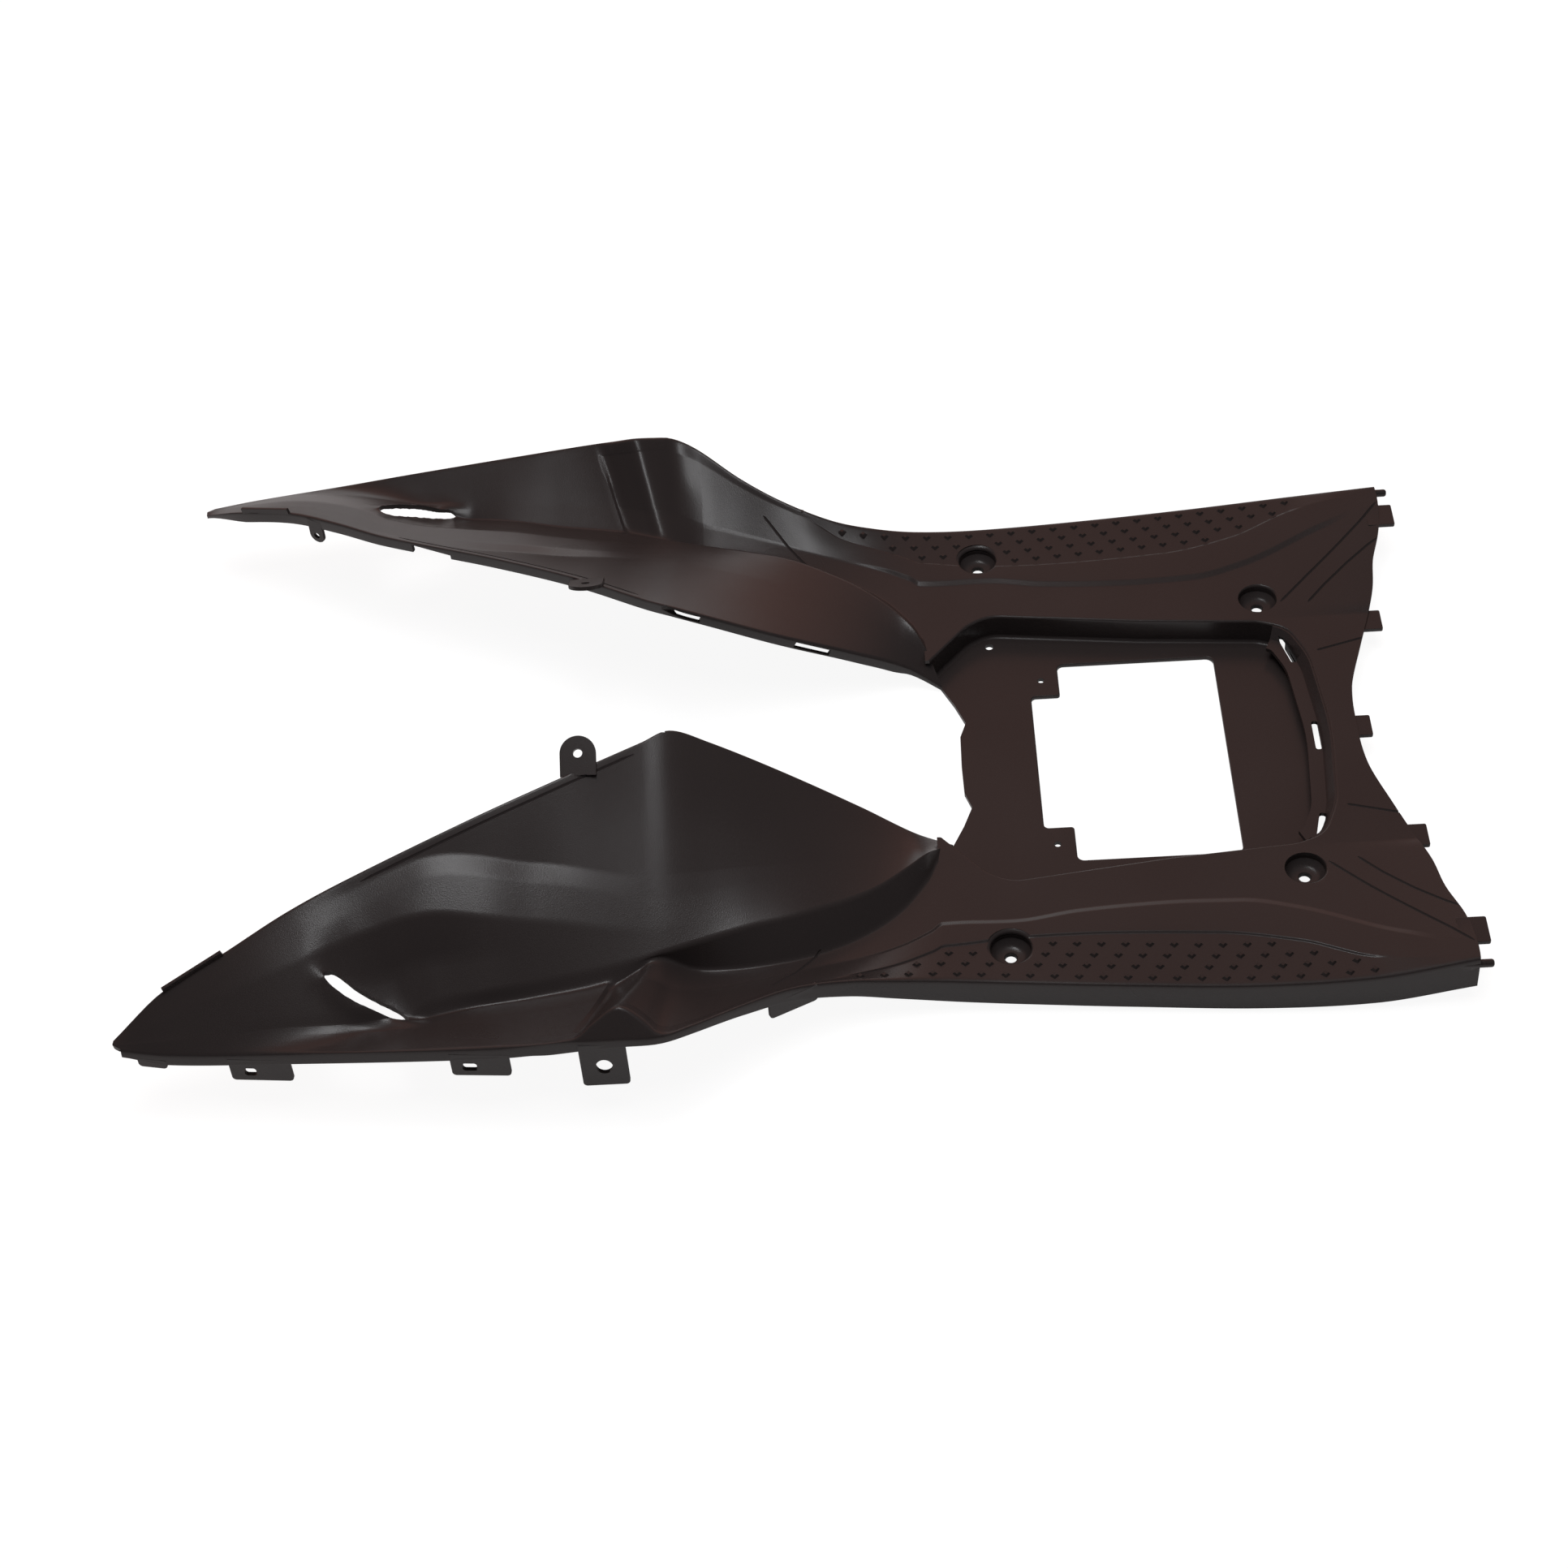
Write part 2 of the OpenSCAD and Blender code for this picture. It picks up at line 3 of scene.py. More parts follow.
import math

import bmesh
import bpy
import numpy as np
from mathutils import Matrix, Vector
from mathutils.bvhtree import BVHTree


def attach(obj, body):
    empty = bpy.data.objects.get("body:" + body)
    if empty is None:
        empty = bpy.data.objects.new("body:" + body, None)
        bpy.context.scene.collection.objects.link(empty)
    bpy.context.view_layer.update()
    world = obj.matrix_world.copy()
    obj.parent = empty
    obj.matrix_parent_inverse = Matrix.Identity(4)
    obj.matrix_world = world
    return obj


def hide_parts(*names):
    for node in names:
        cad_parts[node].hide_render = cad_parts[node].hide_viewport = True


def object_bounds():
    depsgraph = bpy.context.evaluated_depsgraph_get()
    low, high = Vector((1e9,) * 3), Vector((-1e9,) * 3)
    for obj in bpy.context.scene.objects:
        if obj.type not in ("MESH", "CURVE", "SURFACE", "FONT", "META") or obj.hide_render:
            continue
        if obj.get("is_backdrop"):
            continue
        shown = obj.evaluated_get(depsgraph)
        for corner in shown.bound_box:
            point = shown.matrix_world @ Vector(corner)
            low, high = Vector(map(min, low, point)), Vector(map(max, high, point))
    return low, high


bl_info = {
    "name": "Scooter floorboard",
    "version": (1, 0, 0),
    "blender": (4, 5, 0),
    "location": "View3D > Sidebar > Floorboard",
    "description": "Moulded floorboard of a motor scooter on a plain studio floor",
    "category": "Object",
}

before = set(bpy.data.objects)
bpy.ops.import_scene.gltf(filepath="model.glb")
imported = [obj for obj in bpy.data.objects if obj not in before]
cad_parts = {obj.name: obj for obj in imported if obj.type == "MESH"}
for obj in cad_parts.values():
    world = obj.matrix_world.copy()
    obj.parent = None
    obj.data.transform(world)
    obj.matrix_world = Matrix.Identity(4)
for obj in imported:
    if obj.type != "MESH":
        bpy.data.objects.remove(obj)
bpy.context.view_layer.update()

BODY = "root"
NODE = "floorboard"
MM = 0.001
# Height of the deck over the frame's origin, which is the seat of the floor screws, in millimetres
DECK_Z = 8.0

# Lines along the left wing and deck, in millimetres, with a station, a side and a height over
# the deck in each row
INNER = [
    [-503, 222, 27], [-476, 203, 44], [-439, 185, 56], [-407, 165, 63], [-375, 146, 66.5],
    [-302, 110, 75], [-248, 83, 78.5], [-206, 60, 78.5], [-190, 52, 79], [-169, 52.5, 69],
    [-128, 57, 46], [-82, 65, 20], [-50, 70.5, 0], [-28, 67, -16.2],
]
CREST = [
    [-503, 224.5, 27.4], [-476, 226, 32], [-440, 225, 36.5], [-407, 221, 37], [-375, 216, 33],
    [-338, 209, 24.5], [-327, 204, 25.5], [-295, 199, 26.4], [-268, 193, 24.6],
    [-213, 180.5, 24], [-172, 167.5, 24.4], [-145, 159, 25], [-119, 151, 23.5],
    [-92, 138.5, 19], [-74, 127, 16], [-56, 110, 13], [-44, 96, 9], [-36, 84, -0.3],
]
FOOT = [
    [-503, 225.4, 27.2], [-476, 228, 31], [-440, 228, 34.5], [-407, 225, 34.5], [-375, 221, 30],
    [-338, 213, 20.8], [-304, 206, 21], [-268, 199, 18.8], [-226, 190, 19], [-201, 177, 22],
    [-181, 176, 9], [-160, 176, 7], [-137, 173, 6], [-112, 166, 4], [-84, 151, 1],
    [-61, 132, 0], [-44, 108, 0], [-38, 96, 0], [0, 96, 0], [262, 96, 0],
]
FOLD = [
    [-503, 227.5, 26.9], [-472, 233.5, 27.7], [-413, 239.5, 31], [-367, 244.5, 34],
    [-290, 250.5, 39.6], [-243, 252, 44.6], [-232, 246, 50.5], [-218, 240.5, 56.5],
    [-205, 246, 51.5], [-196, 252, 45.5], [-179, 244, 41.7], [-151, 223, 32], [-124, 206.5, 24.6],
    [-93, 195.5, 15.5], [-68, 192, 10], [-40, 190.5, 6], [0, 192, 3.1], [68, 197, 1.5],
    [136, 202, 1.8], [203, 204, 6], [254, 201, 13], [262, 200.5, 14],
]
BASE = [
    [-503, 228.5, 25.9], [-472, 234.8, 26.4], [-413, 240.8, 29.8], [-290, 251.8, 38.3],
    [-243, 253.3, 43], [-218, 254, 44.2], [-196, 253.6, 44], [-179, 245.3, 40.4],
    [-151, 224.4, 30.7], [-124, 207.9, 23.3], [-93, 196.9, 14.2], [-68, 193.4, 8.7],
    [-40, 191.9, 4.7], [0, 193.4, 1.8], [68, 198.4, 0.2], [136, 203.4, 0.5],
    [203, 205.4, 4.7], [254, 202.4, 11.7], [262, 201.9, 12.7],
]
# Profiles along the board, as pairs of station and value
LEAN_IN = [[-60, 0], [-50, 0], [-38, 10]]
LEAN_MID = [[-470, 0], [-386, 36], [-383, 36], [-300, 0], [-44, 0], [-38, 2]]
LEAN_OUT = [[-503, 5], [-480, 0], [-290, 0], [-228, -18], [-206, -15], [-180, 0]]
CREASE_A = [[-503, 0.2], [-420, 0.12], [-339, 0.10], [-268, 0.38], [-180, 0.68], [-38, 0.62]]
CREASE_B = [[-503, 0.4], [-420, 0.28], [-339, 0.24], [-268, 0.49], [-180, 0.77], [-38, 0.75]]
CREASE_D = [[-503, 0.7], [-420, 0.50], [-380, 0.42], [-339, 0.48], [-268, 0.70], [-180, 0.90],
            [-38, 0.88]]
RISE_A = [[-503, 0], [-420, 1], [-339, -0.4], [-268, -1.7], [-232, -0.5], [-200, 0], [-38, 0]]
RISE_B = [[-503, 0], [-420, 2], [-339, 2.2], [-268, 0.8], [-232, 0.4], [-200, 0], [-38, 0]]
RISE_D = [[-503, 0], [-420, 3], [-380, 3.6], [-339, 5.2], [-268, 2.7], [-232, 1.2],
          [-200, 0.2], [-38, 0]]
SCOOP = [[-400, 0], [-372, 3.5], [-330, 3], [-268, 0]]
STEP_SHARE = [[-503, 0.3], [-120, 0.3], [-69, 0.43], [-34, 0.5], [4, 0.49], [40, 0.42],
              [74, 0.385], [105, 0.37], [135, 0.375], [167, 0.45], [222, 0.7], [262, 0.85]]
PAD_SHARE = [[-503, 0.75], [-126, 0.9], [-112, 0.9], [-86, 0.76], [-60, 0.72], [-30, 0.70],
             [3, 0.64], [63, 0.61], [118, 0.62], [163, 0.7], [206, 0.87], [262, 0.95]]
BEND = [[-503, 1], [-240, 1.1], [-150, 1.4], [-60, 2.4], [0, 3], [100, 3], [170, 1.2], [262, 0.6]]
SUNK = [[-228, 0], [-224, 3.4], [-208, 4.2], [-204, 2.4], [-180, 0]]
STEP_RISE = [[-90, 0], [-50, 1.3], [215, 1.3], [245, 0]]
PAD_DROP = [[-108, 0], [-80, 1], [195, 1], [215, 0]]
SKIRT = [[-503, 4], [-470, 7], [-260, 7], [-240, 8], [-196, 5], [-179, 4], [-136, 7], [-100, 10],
         [-23, 16], [100, 17], [262, 21]]
FLANGE = [[-503, 3], [-470, 9], [-60, 9], [-38, 3.6]]
# Station from which the foot of the wing no longer leans
FOOT_UPRIGHT = -44
# How far the lower edges of skirt and flange stand out
SKIRT_OUT, FLANGE_OUT = 0.8, 0.6
# Widths of the pad's edge, the step and the rounding at the foot, as shares of the panel
PAD_EDGE, STEP_WIDTH, FOOT_WIDTH = 0.012, 0.04, 0.06
# Way from the shell's upper to its lower side at each corner of a section, in wall thicknesses
THROUGH = [
    [0, -1, 0.1], [0, -1, -0.5], [0, -0.6, -1.1], [0, 0, -1.1], [0, 0, -1.1], [0, 0, -1.1],
    [0, 0, -1.1], [0, -0.1, -1.1], [0, -0.5, -1], [0, -0.7, -1.1], [0, -0.3, -1.1],
    [0, -0.2, -1.1], [0, -0.2, -1.1], [0, -0.1, -1.1], [0, 1, -1.1], [0, 1, 0.1],
]
# Rounding of each corner, as the length that it takes off either side and its points,
# from the skirt's edge over fold, pad, step, foot, crest and creases to the flange
ROUNDING = [
    (0.5, 3), (1.4, 3), (2.6, 5), (0.5, 3), (0.5, 3), (0.7, 3), (0.7, 3), (5, 5),
    (3, 5), (2.2, 5), (5, 5), (2.6, 5), (1.8, 5), (1.8, 5), (2.4, 5), (0.5, 3),
]
# Parts that the straight stretches between the corners are split into, edge middles included
SPLITS = [1, 3, 1, 2, 1, 3, 1, 4, 1, 2, 3, 3, 3, 2, 4, 2, 1]
# Corner of the section from which the deck's plate reaches across
FOOT_CORNER = 8
# Most of a stretch that a rounding takes off at either end
MOST_CUT = 0.45
# Stretches of the board and the distance between the shell's sections there
SECTIONS = [(-503, -430, 5), (-430, -370, 2.5), (-370, -256, 4), (-256, -176, 2.2),
            (-176, -60, 4), (-60, -38, 2), (-38, 206, 6), (206, 262, 4)]
# Station where the wings end and the deck's plate starts
JOIN_X = -38

# Front edge of the deck, as side and station
NOSE = [[0, 220], [20, 220.5], [38, 223], [68, 232], [114, 246], [140, 250], [165, 257],
        [190, 259.5], [212, 258]]
# Left half of the sunken tray's outline and the radii of its corners
TRAY_HALF = [[-60, 66], [-38, 66], [-36, 74], [-11, 104], [3, 113], [97, 101], [172, 94.5],
             [189, 88], [199.5, 62], [204.5, 0]]
TRAY_ROUND = [0, 0, 0, 24, 24, 0, 20, 20, 60, 200]
TRAY_REAR = [[-19.5, 0], [-19, 24], [-15, 36], [-21, 52], [-28, 67], [-33, 78]]
SCREWS = [(0, 165), (0, -165), (174, 115), (174, -115)]
# Skirt tabs, as station, width, length under the skirt and whether they turn with the edge
TABS = [(-481, 17, 4, True), (-420, 35, 14, True), (-296, 33, 14, True), (-228, 26, 30, False),
        (-124, 30, 7.7, True)]
# Inner and outer edge of the crescent slot, as stations and sides
SLOT_INNER = [(-384, 196), (-380, 194), (-375, 195.5), (-369, 199), (-361, 202.5), (-353, 205.3),
              (-344, 208.6), (-338.6, 212.6)]
SLOT_OUTER = [(-384, 197), (-383.4, 199.5), (-379, 203.8), (-371, 208.6), (-361, 212.4),
              (-350, 215), (-342, 216), (-338.8, 214.4)]
# Rise of the wing's face along the slot's outer edge and drop along its inner edge, by station
SLOT_RIM = [[-396, 0], [-384, 2], [-372, 3], [-350, 4], [-340, 3.4], [-326, 0]]
SLOT_BED = [[-396, 0], [-384, 1.5], [-372, 3.6], [-355, 3], [-340, 2], [-322, 0]]
# Distances over which rim and bed fade away from the slot, and over which they fade into it
RIM_FADE, BED_FADE, SLOT_FADE = 7, 17, 3.5
# Slots of the ledge along the tray's front, as station, side, turn in degrees and half length
FRONT_SLOTS = [(196.4, 0, 0, 12), (188.2, 76.5, 15, 12.5), (189.2, -74, -13, 9.5)]
# Lines pressed into the rising front of the deck, as stations and sides
FRONT_LINES = [
    [(188, 111), (208, 133), (230, 156), (247, 174), (258, 187)],
    [(205, 109), (217, 123), (233, 139), (248, 152), (255, 157)],
    [(205, 66), (220, 70.5), (235, 75)],
]
# Line across the panel beside each wing, and the stretch and place of the one on its inner edge
PANEL_LINE = [(-137, 200), (-122, 181), (-108, 163)]
EDGE_LINE_X, EDGE_LINE_SHIFT = (-366, -212), [1.5, 5]
# Stations on a wing's inner edge: leaning bracket, hanging tab, windows, gap, ends of the strip
BRACKET_X, HANGER_X, WINDOWS_X, GAP_X, STRIP_X = -242, -422, (-183, -106), -343, (-474, -441)
# Clips along the front edge, as side, height over the deck and width
CLIPS = [(0, 0, 17), (92, 0, 17), (-92, 0, 17), (177, 11.6, 19), (-177, 11.6, 19)]
# Peg at each front corner, as radius and length, and its station
PEG = [(2.4, 0), (2.4, 15.6), (2.0, 16.6), (1.2, 17)]
PEG_X = 250
# Ribs under the deck, as station and the side where they start, and their width
RIBS = [(48, -108.6), (92, -103)]
RIB_WIDTH = 1.8
# Slots of two skirt tabs, as station and half length, and the tab with the round hole
TAB_SLOTS = [(-420, 3.4), (-296, 4.1)]
ROUND_TAB_X = -228
# Left half of the battery opening and the radii of its corners
BATTERY_HALF = [[27, 56], [45, 56], [45, 83.5], [143, 83.5]]
BATTERY_ROUND = [3, 2, 4, 5]
# Holes for the lid's screws and the drain in the tray's floor, as radius, station and side
FLOOR_HOLES = [(2.1, 34, 70), (2.6, 3.6, 103)]
# Strip of the deck that would stand between a wing's inner end and the tray
LOOSE_STRIP = (-39.5, 62, -35.2, 75.5)
# Depth of the front ledge and of the screw cups under the deck, and radius of a screw's hole
LEDGE_DEPTH, CUP_DEPTH, SCREW_RADIUS = 8, 8, 3.4
# Heights under and over the deck that every opening reaches past
BELOW, ABOVE = -40, 60
QUARTER = np.linspace(0, math.pi / 2, 6)


class FloorboardShell(bpy.types.PropertyGroup):
    """Sizes of the moulded shell."""

    wall: bpy.props.FloatProperty(
        name="Wall", description="Thickness of the moulded wall", default=0.0026, unit="LENGTH")
    tray_depth: bpy.props.FloatProperty(
        name="Tray depth", description="Depth of the tray's floor under the deck", default=0.0175,
        unit="LENGTH")
    ease: bpy.props.FloatProperty(
        name="Edge easing", description="Rounding of the edges of tabs and clips", default=0.0004,
        unit="LENGTH")
    lip: bpy.props.FloatProperty(
        name="Lip rounding", description="Radius of the tray's upper edge", default=0.0014,
        unit="LENGTH")
    root: bpy.props.FloatProperty(
        name="Root rounding", description="Radius at the foot of the tray's wall", default=0.0025,
        unit="LENGTH")
    cup_radius: bpy.props.FloatProperty(
        name="Cup radius", description="Radius of the cup over a floor screw", default=0.0117,
        unit="LENGTH")
    groove_width: bpy.props.FloatProperty(
        name="Line width", description="Width of the lines pressed into the deck", default=0.0018,
        unit="LENGTH")
    groove_depth: bpy.props.FloatProperty(
        name="Line depth", description="Depth of the lines pressed into the deck", default=0.0009,
        unit="LENGTH")
    sharp_angle: bpy.props.FloatProperty(
        name="Sharp angle", description="Angle from which an edge is shaded sharp",
        default=math.radians(34), subtype="ANGLE")


class FloorboardMarks(bpy.types.PropertyGroup):
    """Sizes of the grip marks."""

    pitch: bpy.props.FloatProperty(
        name="Pitch", description="Distance between marks along a row", default=0.0137,
        unit="LENGTH")
    radius: bpy.props.FloatProperty(
        name="Mark radius", description="Radius of a mark's foot", default=0.0031, unit="LENGTH")
    top: bpy.props.FloatProperty(
        name="Top radius", description="Radius of a mark's flat top", default=0.0014,
        unit="LENGTH")
    depth: bpy.props.FloatProperty(
        name="Mark depth", description="Height of a mark with its foot in the pad", default=0.0018,
        unit="LENGTH")


class FloorboardPlastic(bpy.types.PropertyGroup):
    """Colours and finish of the plastic."""

    colour: bpy.props.FloatVectorProperty(
        name="Colour", description="Colour of the plastic", default=(0.027, 0.0215, 0.021),
        subtype="COLOR")
    pale: bpy.props.FloatVectorProperty(
        name="Pale colour", description="Colour where the moulding is a little paler",
        default=(0.036, 0.029, 0.028), subtype="COLOR")
    roughness: bpy.props.FloatProperty(
        name="Roughness", description="Roughness of the moulded surface", default=0.29,
        subtype="FACTOR")
    grain: bpy.props.FloatProperty(
        name="Grain depth", description="Depth of the leather-like grain", default=0.00005,
        unit="LENGTH")


class FloorboardStage(bpy.types.PropertyGroup):
    """Camera, lamps and floor."""

    focal_length: bpy.props.FloatProperty(
        name="Focal length", description="Lens of the camera in millimetres", default=70.06)
    softbox_power: bpy.props.FloatProperty(
        name="Softbox", description="Power of the lamp over the wings", default=2.4, unit="POWER")
    fill_power: bpy.props.FloatProperty(
        name="Fill", description="Power of the large lamp overhead", default=21.0, unit="POWER")
    room_light: bpy.props.FloatProperty(
        name="Room light", description="Strength of the light from all round", default=1.0)
    floor_size: bpy.props.FloatProperty(
        name="Floor size", description="Side of the square floor", default=14.0, unit="LENGTH")


def hermite(stations, values, slopes, x):
    """Values at x on the cubic curve through the stations with the given slopes."""
    i = np.clip(np.searchsorted(stations, x, side="right") - 1, 0, len(stations) - 2)
    w = (stations[i + 1] - stations[i])[:, None]
    t = np.clip((x - stations[i])[:, None] / w, 0, 1)
    return (values[i] * (2 * t**3 - 3 * t**2 + 1) + slopes[i] * w * (t**3 - 2 * t**2 + t)
            + values[i + 1] * (3 * t**2 - 2 * t**3) + slopes[i + 1] * w * (t**3 - t**2))


def line(table, x):
    """Points of one of the board's lines at the stations x."""
    rows = np.asarray(table, float)
    last = len(rows) - 1
    before = np.clip(np.arange(last + 1) - 1, 0, last)
    after = np.clip(np.arange(last + 1) + 1, 0, last)
    slopes = (rows[after, 1:] - rows[before, 1:]) / (rows[after, 0] - rows[before, 0])[:, None]
    return np.column_stack([x, hermite(rows[:, 0], rows[:, 1:], slopes, x)])


def eased(profile, x):
    """Values of a profile at the stations x, on a curve that never overshoots its points."""
    rows = np.asarray(profile, float)
    step = np.diff(rows[:, 1]) / np.diff(rows[:, 0])
    slopes = np.zeros(len(rows))
    same = step[:-1] * step[1:] > 0
    pair = step[:-1] + step[1:]
    slopes[1:-1][same] = 2 * step[:-1][same] * step[1:][same] / pair[same]
    return hermite(rows[:, 0], rows[:, 1:], slopes[:, None], x)[:, 0]


def sections(x):
    """Corners of the board's section at the stations x, from the skirt's edge in to the flange."""
    lean = eased(LEAN_MID, x)
    out = x + eased(LEAN_OUT, x)
    inner = line(INNER, x + eased(LEAN_IN, x))
    crest = line(CREST, x + lean)
    foot = line(FOOT, np.where(x > FOOT_UPRIGHT, x, x + lean))
    fold = line(FOLD, out)
    base = line(BASE, out)
    up = np.array([0, 0, 1.0])

    def wing(share, rise):
        return inner + (crest - inner) * eased(share, x)[:, None] + up * eased(rise, x)[:, None]

    def panel(share, dz):
        way = np.column_stack([share, share, share ** eased(BEND, x)])
        return foot + (fold - foot) * way + up * dz[:, None]

    step = eased(STEP_SHARE, x)
    pad = eased(PAD_SHARE, x)
    low = -eased(SUNK, x)
    rise = eased(STEP_RISE, x)
    ridge = wing(CREASE_D, RISE_D)
    skirt = base + np.column_stack([0 * x, 0 * x + SKIRT_OUT, -eased(SKIRT, x)])
    flange = inner + np.column_stack([0 * x, 0 * x + FLANGE_OUT, -eased(FLANGE, x)])
    return np.stack([
        skirt, base, fold,
        panel(pad + PAD_EDGE, low * 0.3 + rise - eased(PAD_DROP, x)),
        panel(pad, low * 0.4 + rise), panel(step + STEP_WIDTH, low + rise), panel(step, low),
        panel(0 * x + FOOT_WIDTH, low),
        foot, crest, (ridge + crest) / 2 - up * eased(SCOOP, x)[:, None], ridge,
        wing(CREASE_B, RISE_B), wing(CREASE_A, RISE_A), inner, flange,
    ], axis=1)


def run(points):
    """Distance of each point from the first one, along the points."""
    return np.concatenate([[0], np.cumsum(np.linalg.norm(np.diff(points, axis=0), axis=1))])


def smooth(points, count):
    """Points evenly spread along a smooth curve through the given ones."""
    p = np.asarray(points, float)
    s = run(p)
    return line(np.column_stack([s, p]), np.linspace(0, s[-1], count))[:, 1:]


def slot_relief(points):
    """Height that the wing's face gains or loses round the crescent slot, at points of it."""
    x, y = points[..., 0].ravel(), points[..., 1].ravel()

    def side_at(edge):
        edge = smooth(edge, 40)
        order = np.argsort(edge[:, 0])
        return np.interp(x, edge[order, 0], edge[order, 1])

    def swell(profile, away, most, fade):
        away = np.clip(away, -12, most)
        return eased(profile, x) * np.exp(-(away / np.where(away > 0, fade, SLOT_FADE)) ** 2)

    lift = swell(SLOT_RIM, y - side_at(SLOT_OUTER), 40, RIM_FADE)
    drop = swell(SLOT_BED, side_at(SLOT_INNER) - y, 60, BED_FADE)
    return (lift - drop).reshape(points.shape[:-1])


def rounded_rows(corners):
    """Rows of points along the corners' polylines, with each corner rounded off."""
    lengths = np.linalg.norm(np.diff(corners, axis=1), axis=2)
    rows = [corners[:, 0]]
    middle = None
    start = corners[:, 0]
    for j in range(1, corners.shape[1] - 1):
        cut, count = ROUNDING[j - 1]
        here = corners[:, j]
        back = (np.minimum(cut, MOST_CUT * lengths[:, j - 1]) / lengths[:, j - 1])[:, None]
        on = (np.minimum(cut, MOST_CUT * lengths[:, j]) / lengths[:, j])[:, None]
        a = here + (corners[:, j - 1] - here) * back
        b = here + (corners[:, j + 1] - here) * on
        rows += [start + (a - start) * s for s in np.linspace(0, 1, SPLITS[j - 1] + 1)[1:-1]]
        if j - 1 == FOOT_CORNER:
            middle = len(rows) + count // 2
        rows += [a * (1 - t) ** 2 + here * 2 * t * (1 - t) + b * t**2
                 for t in np.linspace(0, 1, count)]
        start = b
    rows.append(corners[:, -1])
    return np.stack(rows, axis=1), middle


def shell_points(wall):
    """Both sides of the left half's rounded sections, their stations and the foot's column."""
    x = np.concatenate([np.arange(a, b, d) for a, b, d in SECTIONS] + [[SECTIONS[-1][1]]])
    upper = sections(x)
    lower = upper + np.array(THROUGH) * wall
    ends = (upper[:, [0, -1]] + lower[:, [0, -1]]) / 2
    sides = [np.concatenate([ends[:, :1], side, ends[:, 1:]], axis=1) for side in (upper, lower)]
    (top, foot), (under, _) = (rounded_rows(side) for side in sides)
    for side in (top, under):
        side[..., 2] += slot_relief(side)
    return top, under, x, foot


def sheet_mesh(wall):
    """The moulded sheet and the deck's plate as points and faces of one closed surface."""
    top, under, x, foot = shell_points(wall)
    count, columns = top.shape[:2]
    join = int(np.searchsorted(x, JOIN_X))
    flip = np.array([1, -1, 1])
    points = np.concatenate([top.reshape(-1, 3), under.reshape(-1, 3),
                             top.reshape(-1, 3) * flip, under.reshape(-1, 3) * flip])
    faces = []

    def at(side, layer, i, j):
        return (side * 2 + layer) * count * columns + i * columns + j

    for side in (0, 1):
        for i in range(count - 1):
            for j in range(columns - 1 if i < join else foot):
                for layer in (0, 1):
                    faces.append([at(side, layer, i, j), at(side, layer, i, j + 1),
                                  at(side, layer, i + 1, j + 1), at(side, layer, i + 1, j)])
        rims = [(0, j) for j in range(columns - 1)]
        rims += [(join, j) for j in range(foot, columns - 1)]
        rims += [(count - 1, j) for j in range(foot)]
        for i, j in rims:
            faces.append([at(side, 0, i, j), at(side, 0, i, j + 1),
                          at(side, 1, i, j + 1), at(side, 1, i, j)])
    for i in range(join, count - 1):
        for layer in (0, 1):
            faces.append([at(0, layer, i, foot), at(1, layer, i, foot),
                          at(1, layer, i + 1, foot), at(0, layer, i + 1, foot)])
    for i in (join, count - 1):
        faces.append([at(0, 0, i, foot), at(1, 0, i, foot), at(1, 1, i, foot), at(0, 1, i, foot)])
    return points, faces


def linked(name, data):
    """A new object in the scene."""
    thing = bpy.data.objects.new(name, data)
    bpy.context.scene.collection.objects.link(thing)
    return thing


def made_mesh(name, solids):
    """A mesh object of closed solids, given as points in millimetres over the deck and faces."""
    points, faces, start = [], [], 0
    for corners, sides in solids:
        points.append(np.asarray(corners, float))
        faces += [[start + k for k in side] for side in sides]
        start += len(corners)
    place = (np.concatenate(points) + [0, 0, DECK_Z]) * MM
    mesh = bpy.data.meshes.new(name)
    mesh.from_pydata(place.tolist(), [], faces)
    bm = bmesh.new()
    bm.from_mesh(mesh)
    bmesh.ops.remove_doubles(bm, verts=bm.verts, dist=1e-6)
    bmesh.ops.recalc_face_normals(bm, faces=bm.faces)
    bm.to_mesh(mesh)
    bm.free()
    return linked(name, mesh)


def unit(v):
    """Direction of a vector."""
    return v / np.linalg.norm(v)


def rounded(outline, radii, count=6):
    """A closed outline with its corners rounded by the radii."""
    points, n = [], len(outline)
    p = np.asarray(outline, float)
    for i in range(n):
        u, v = unit(p[i - 1] - p[i]), unit(p[(i + 1) % n] - p[i])
        half = math.acos(max(min(float(u @ v), 1), -1)) / 2
        if radii[i] == 0 or half > math.radians(89):
            points.append(p[i])
            continue
        middle = p[i] + unit(u + v) * radii[i] / math.sin(half)
        a = p[i] + u * radii[i] / math.tan(half) - middle
        b = p[i] + v * radii[i] / math.tan(half) - middle
        points += [middle + unit(a * (1 - t) + b * t) * radii[i] for t in np.linspace(0, 1, count)]
    return np.array(points)


def grown(outline, d):
    """A closed outline moved outwards by d."""
    p = np.asarray(outline, float)
    e = p - np.roll(p, 1, axis=0)
    e /= np.linalg.norm(e, axis=1)[:, None]
    f = np.roll(e, -1, axis=0)
    turn = 1 if np.sum(p[:, 0] * np.roll(p[:, 1], -1) - p[:, 1] * np.roll(p[:, 0], -1)) > 0 else -1
    a = np.column_stack([e[:, 1], -e[:, 0]]) * turn
    b = np.column_stack([f[:, 1], -f[:, 0]]) * turn
    return p + (a + b) * d / (1 + np.sum(a * b, axis=1))[:, None]


def both_halves(half):
    """A closed outline from its left half, which starts and ends on or near the middle line."""
    p = np.asarray(half, float)
    q = p[np.abs(p[:, 1]) > 1e-6][::-1] * [1, -1]
    return np.concatenate([p, q])


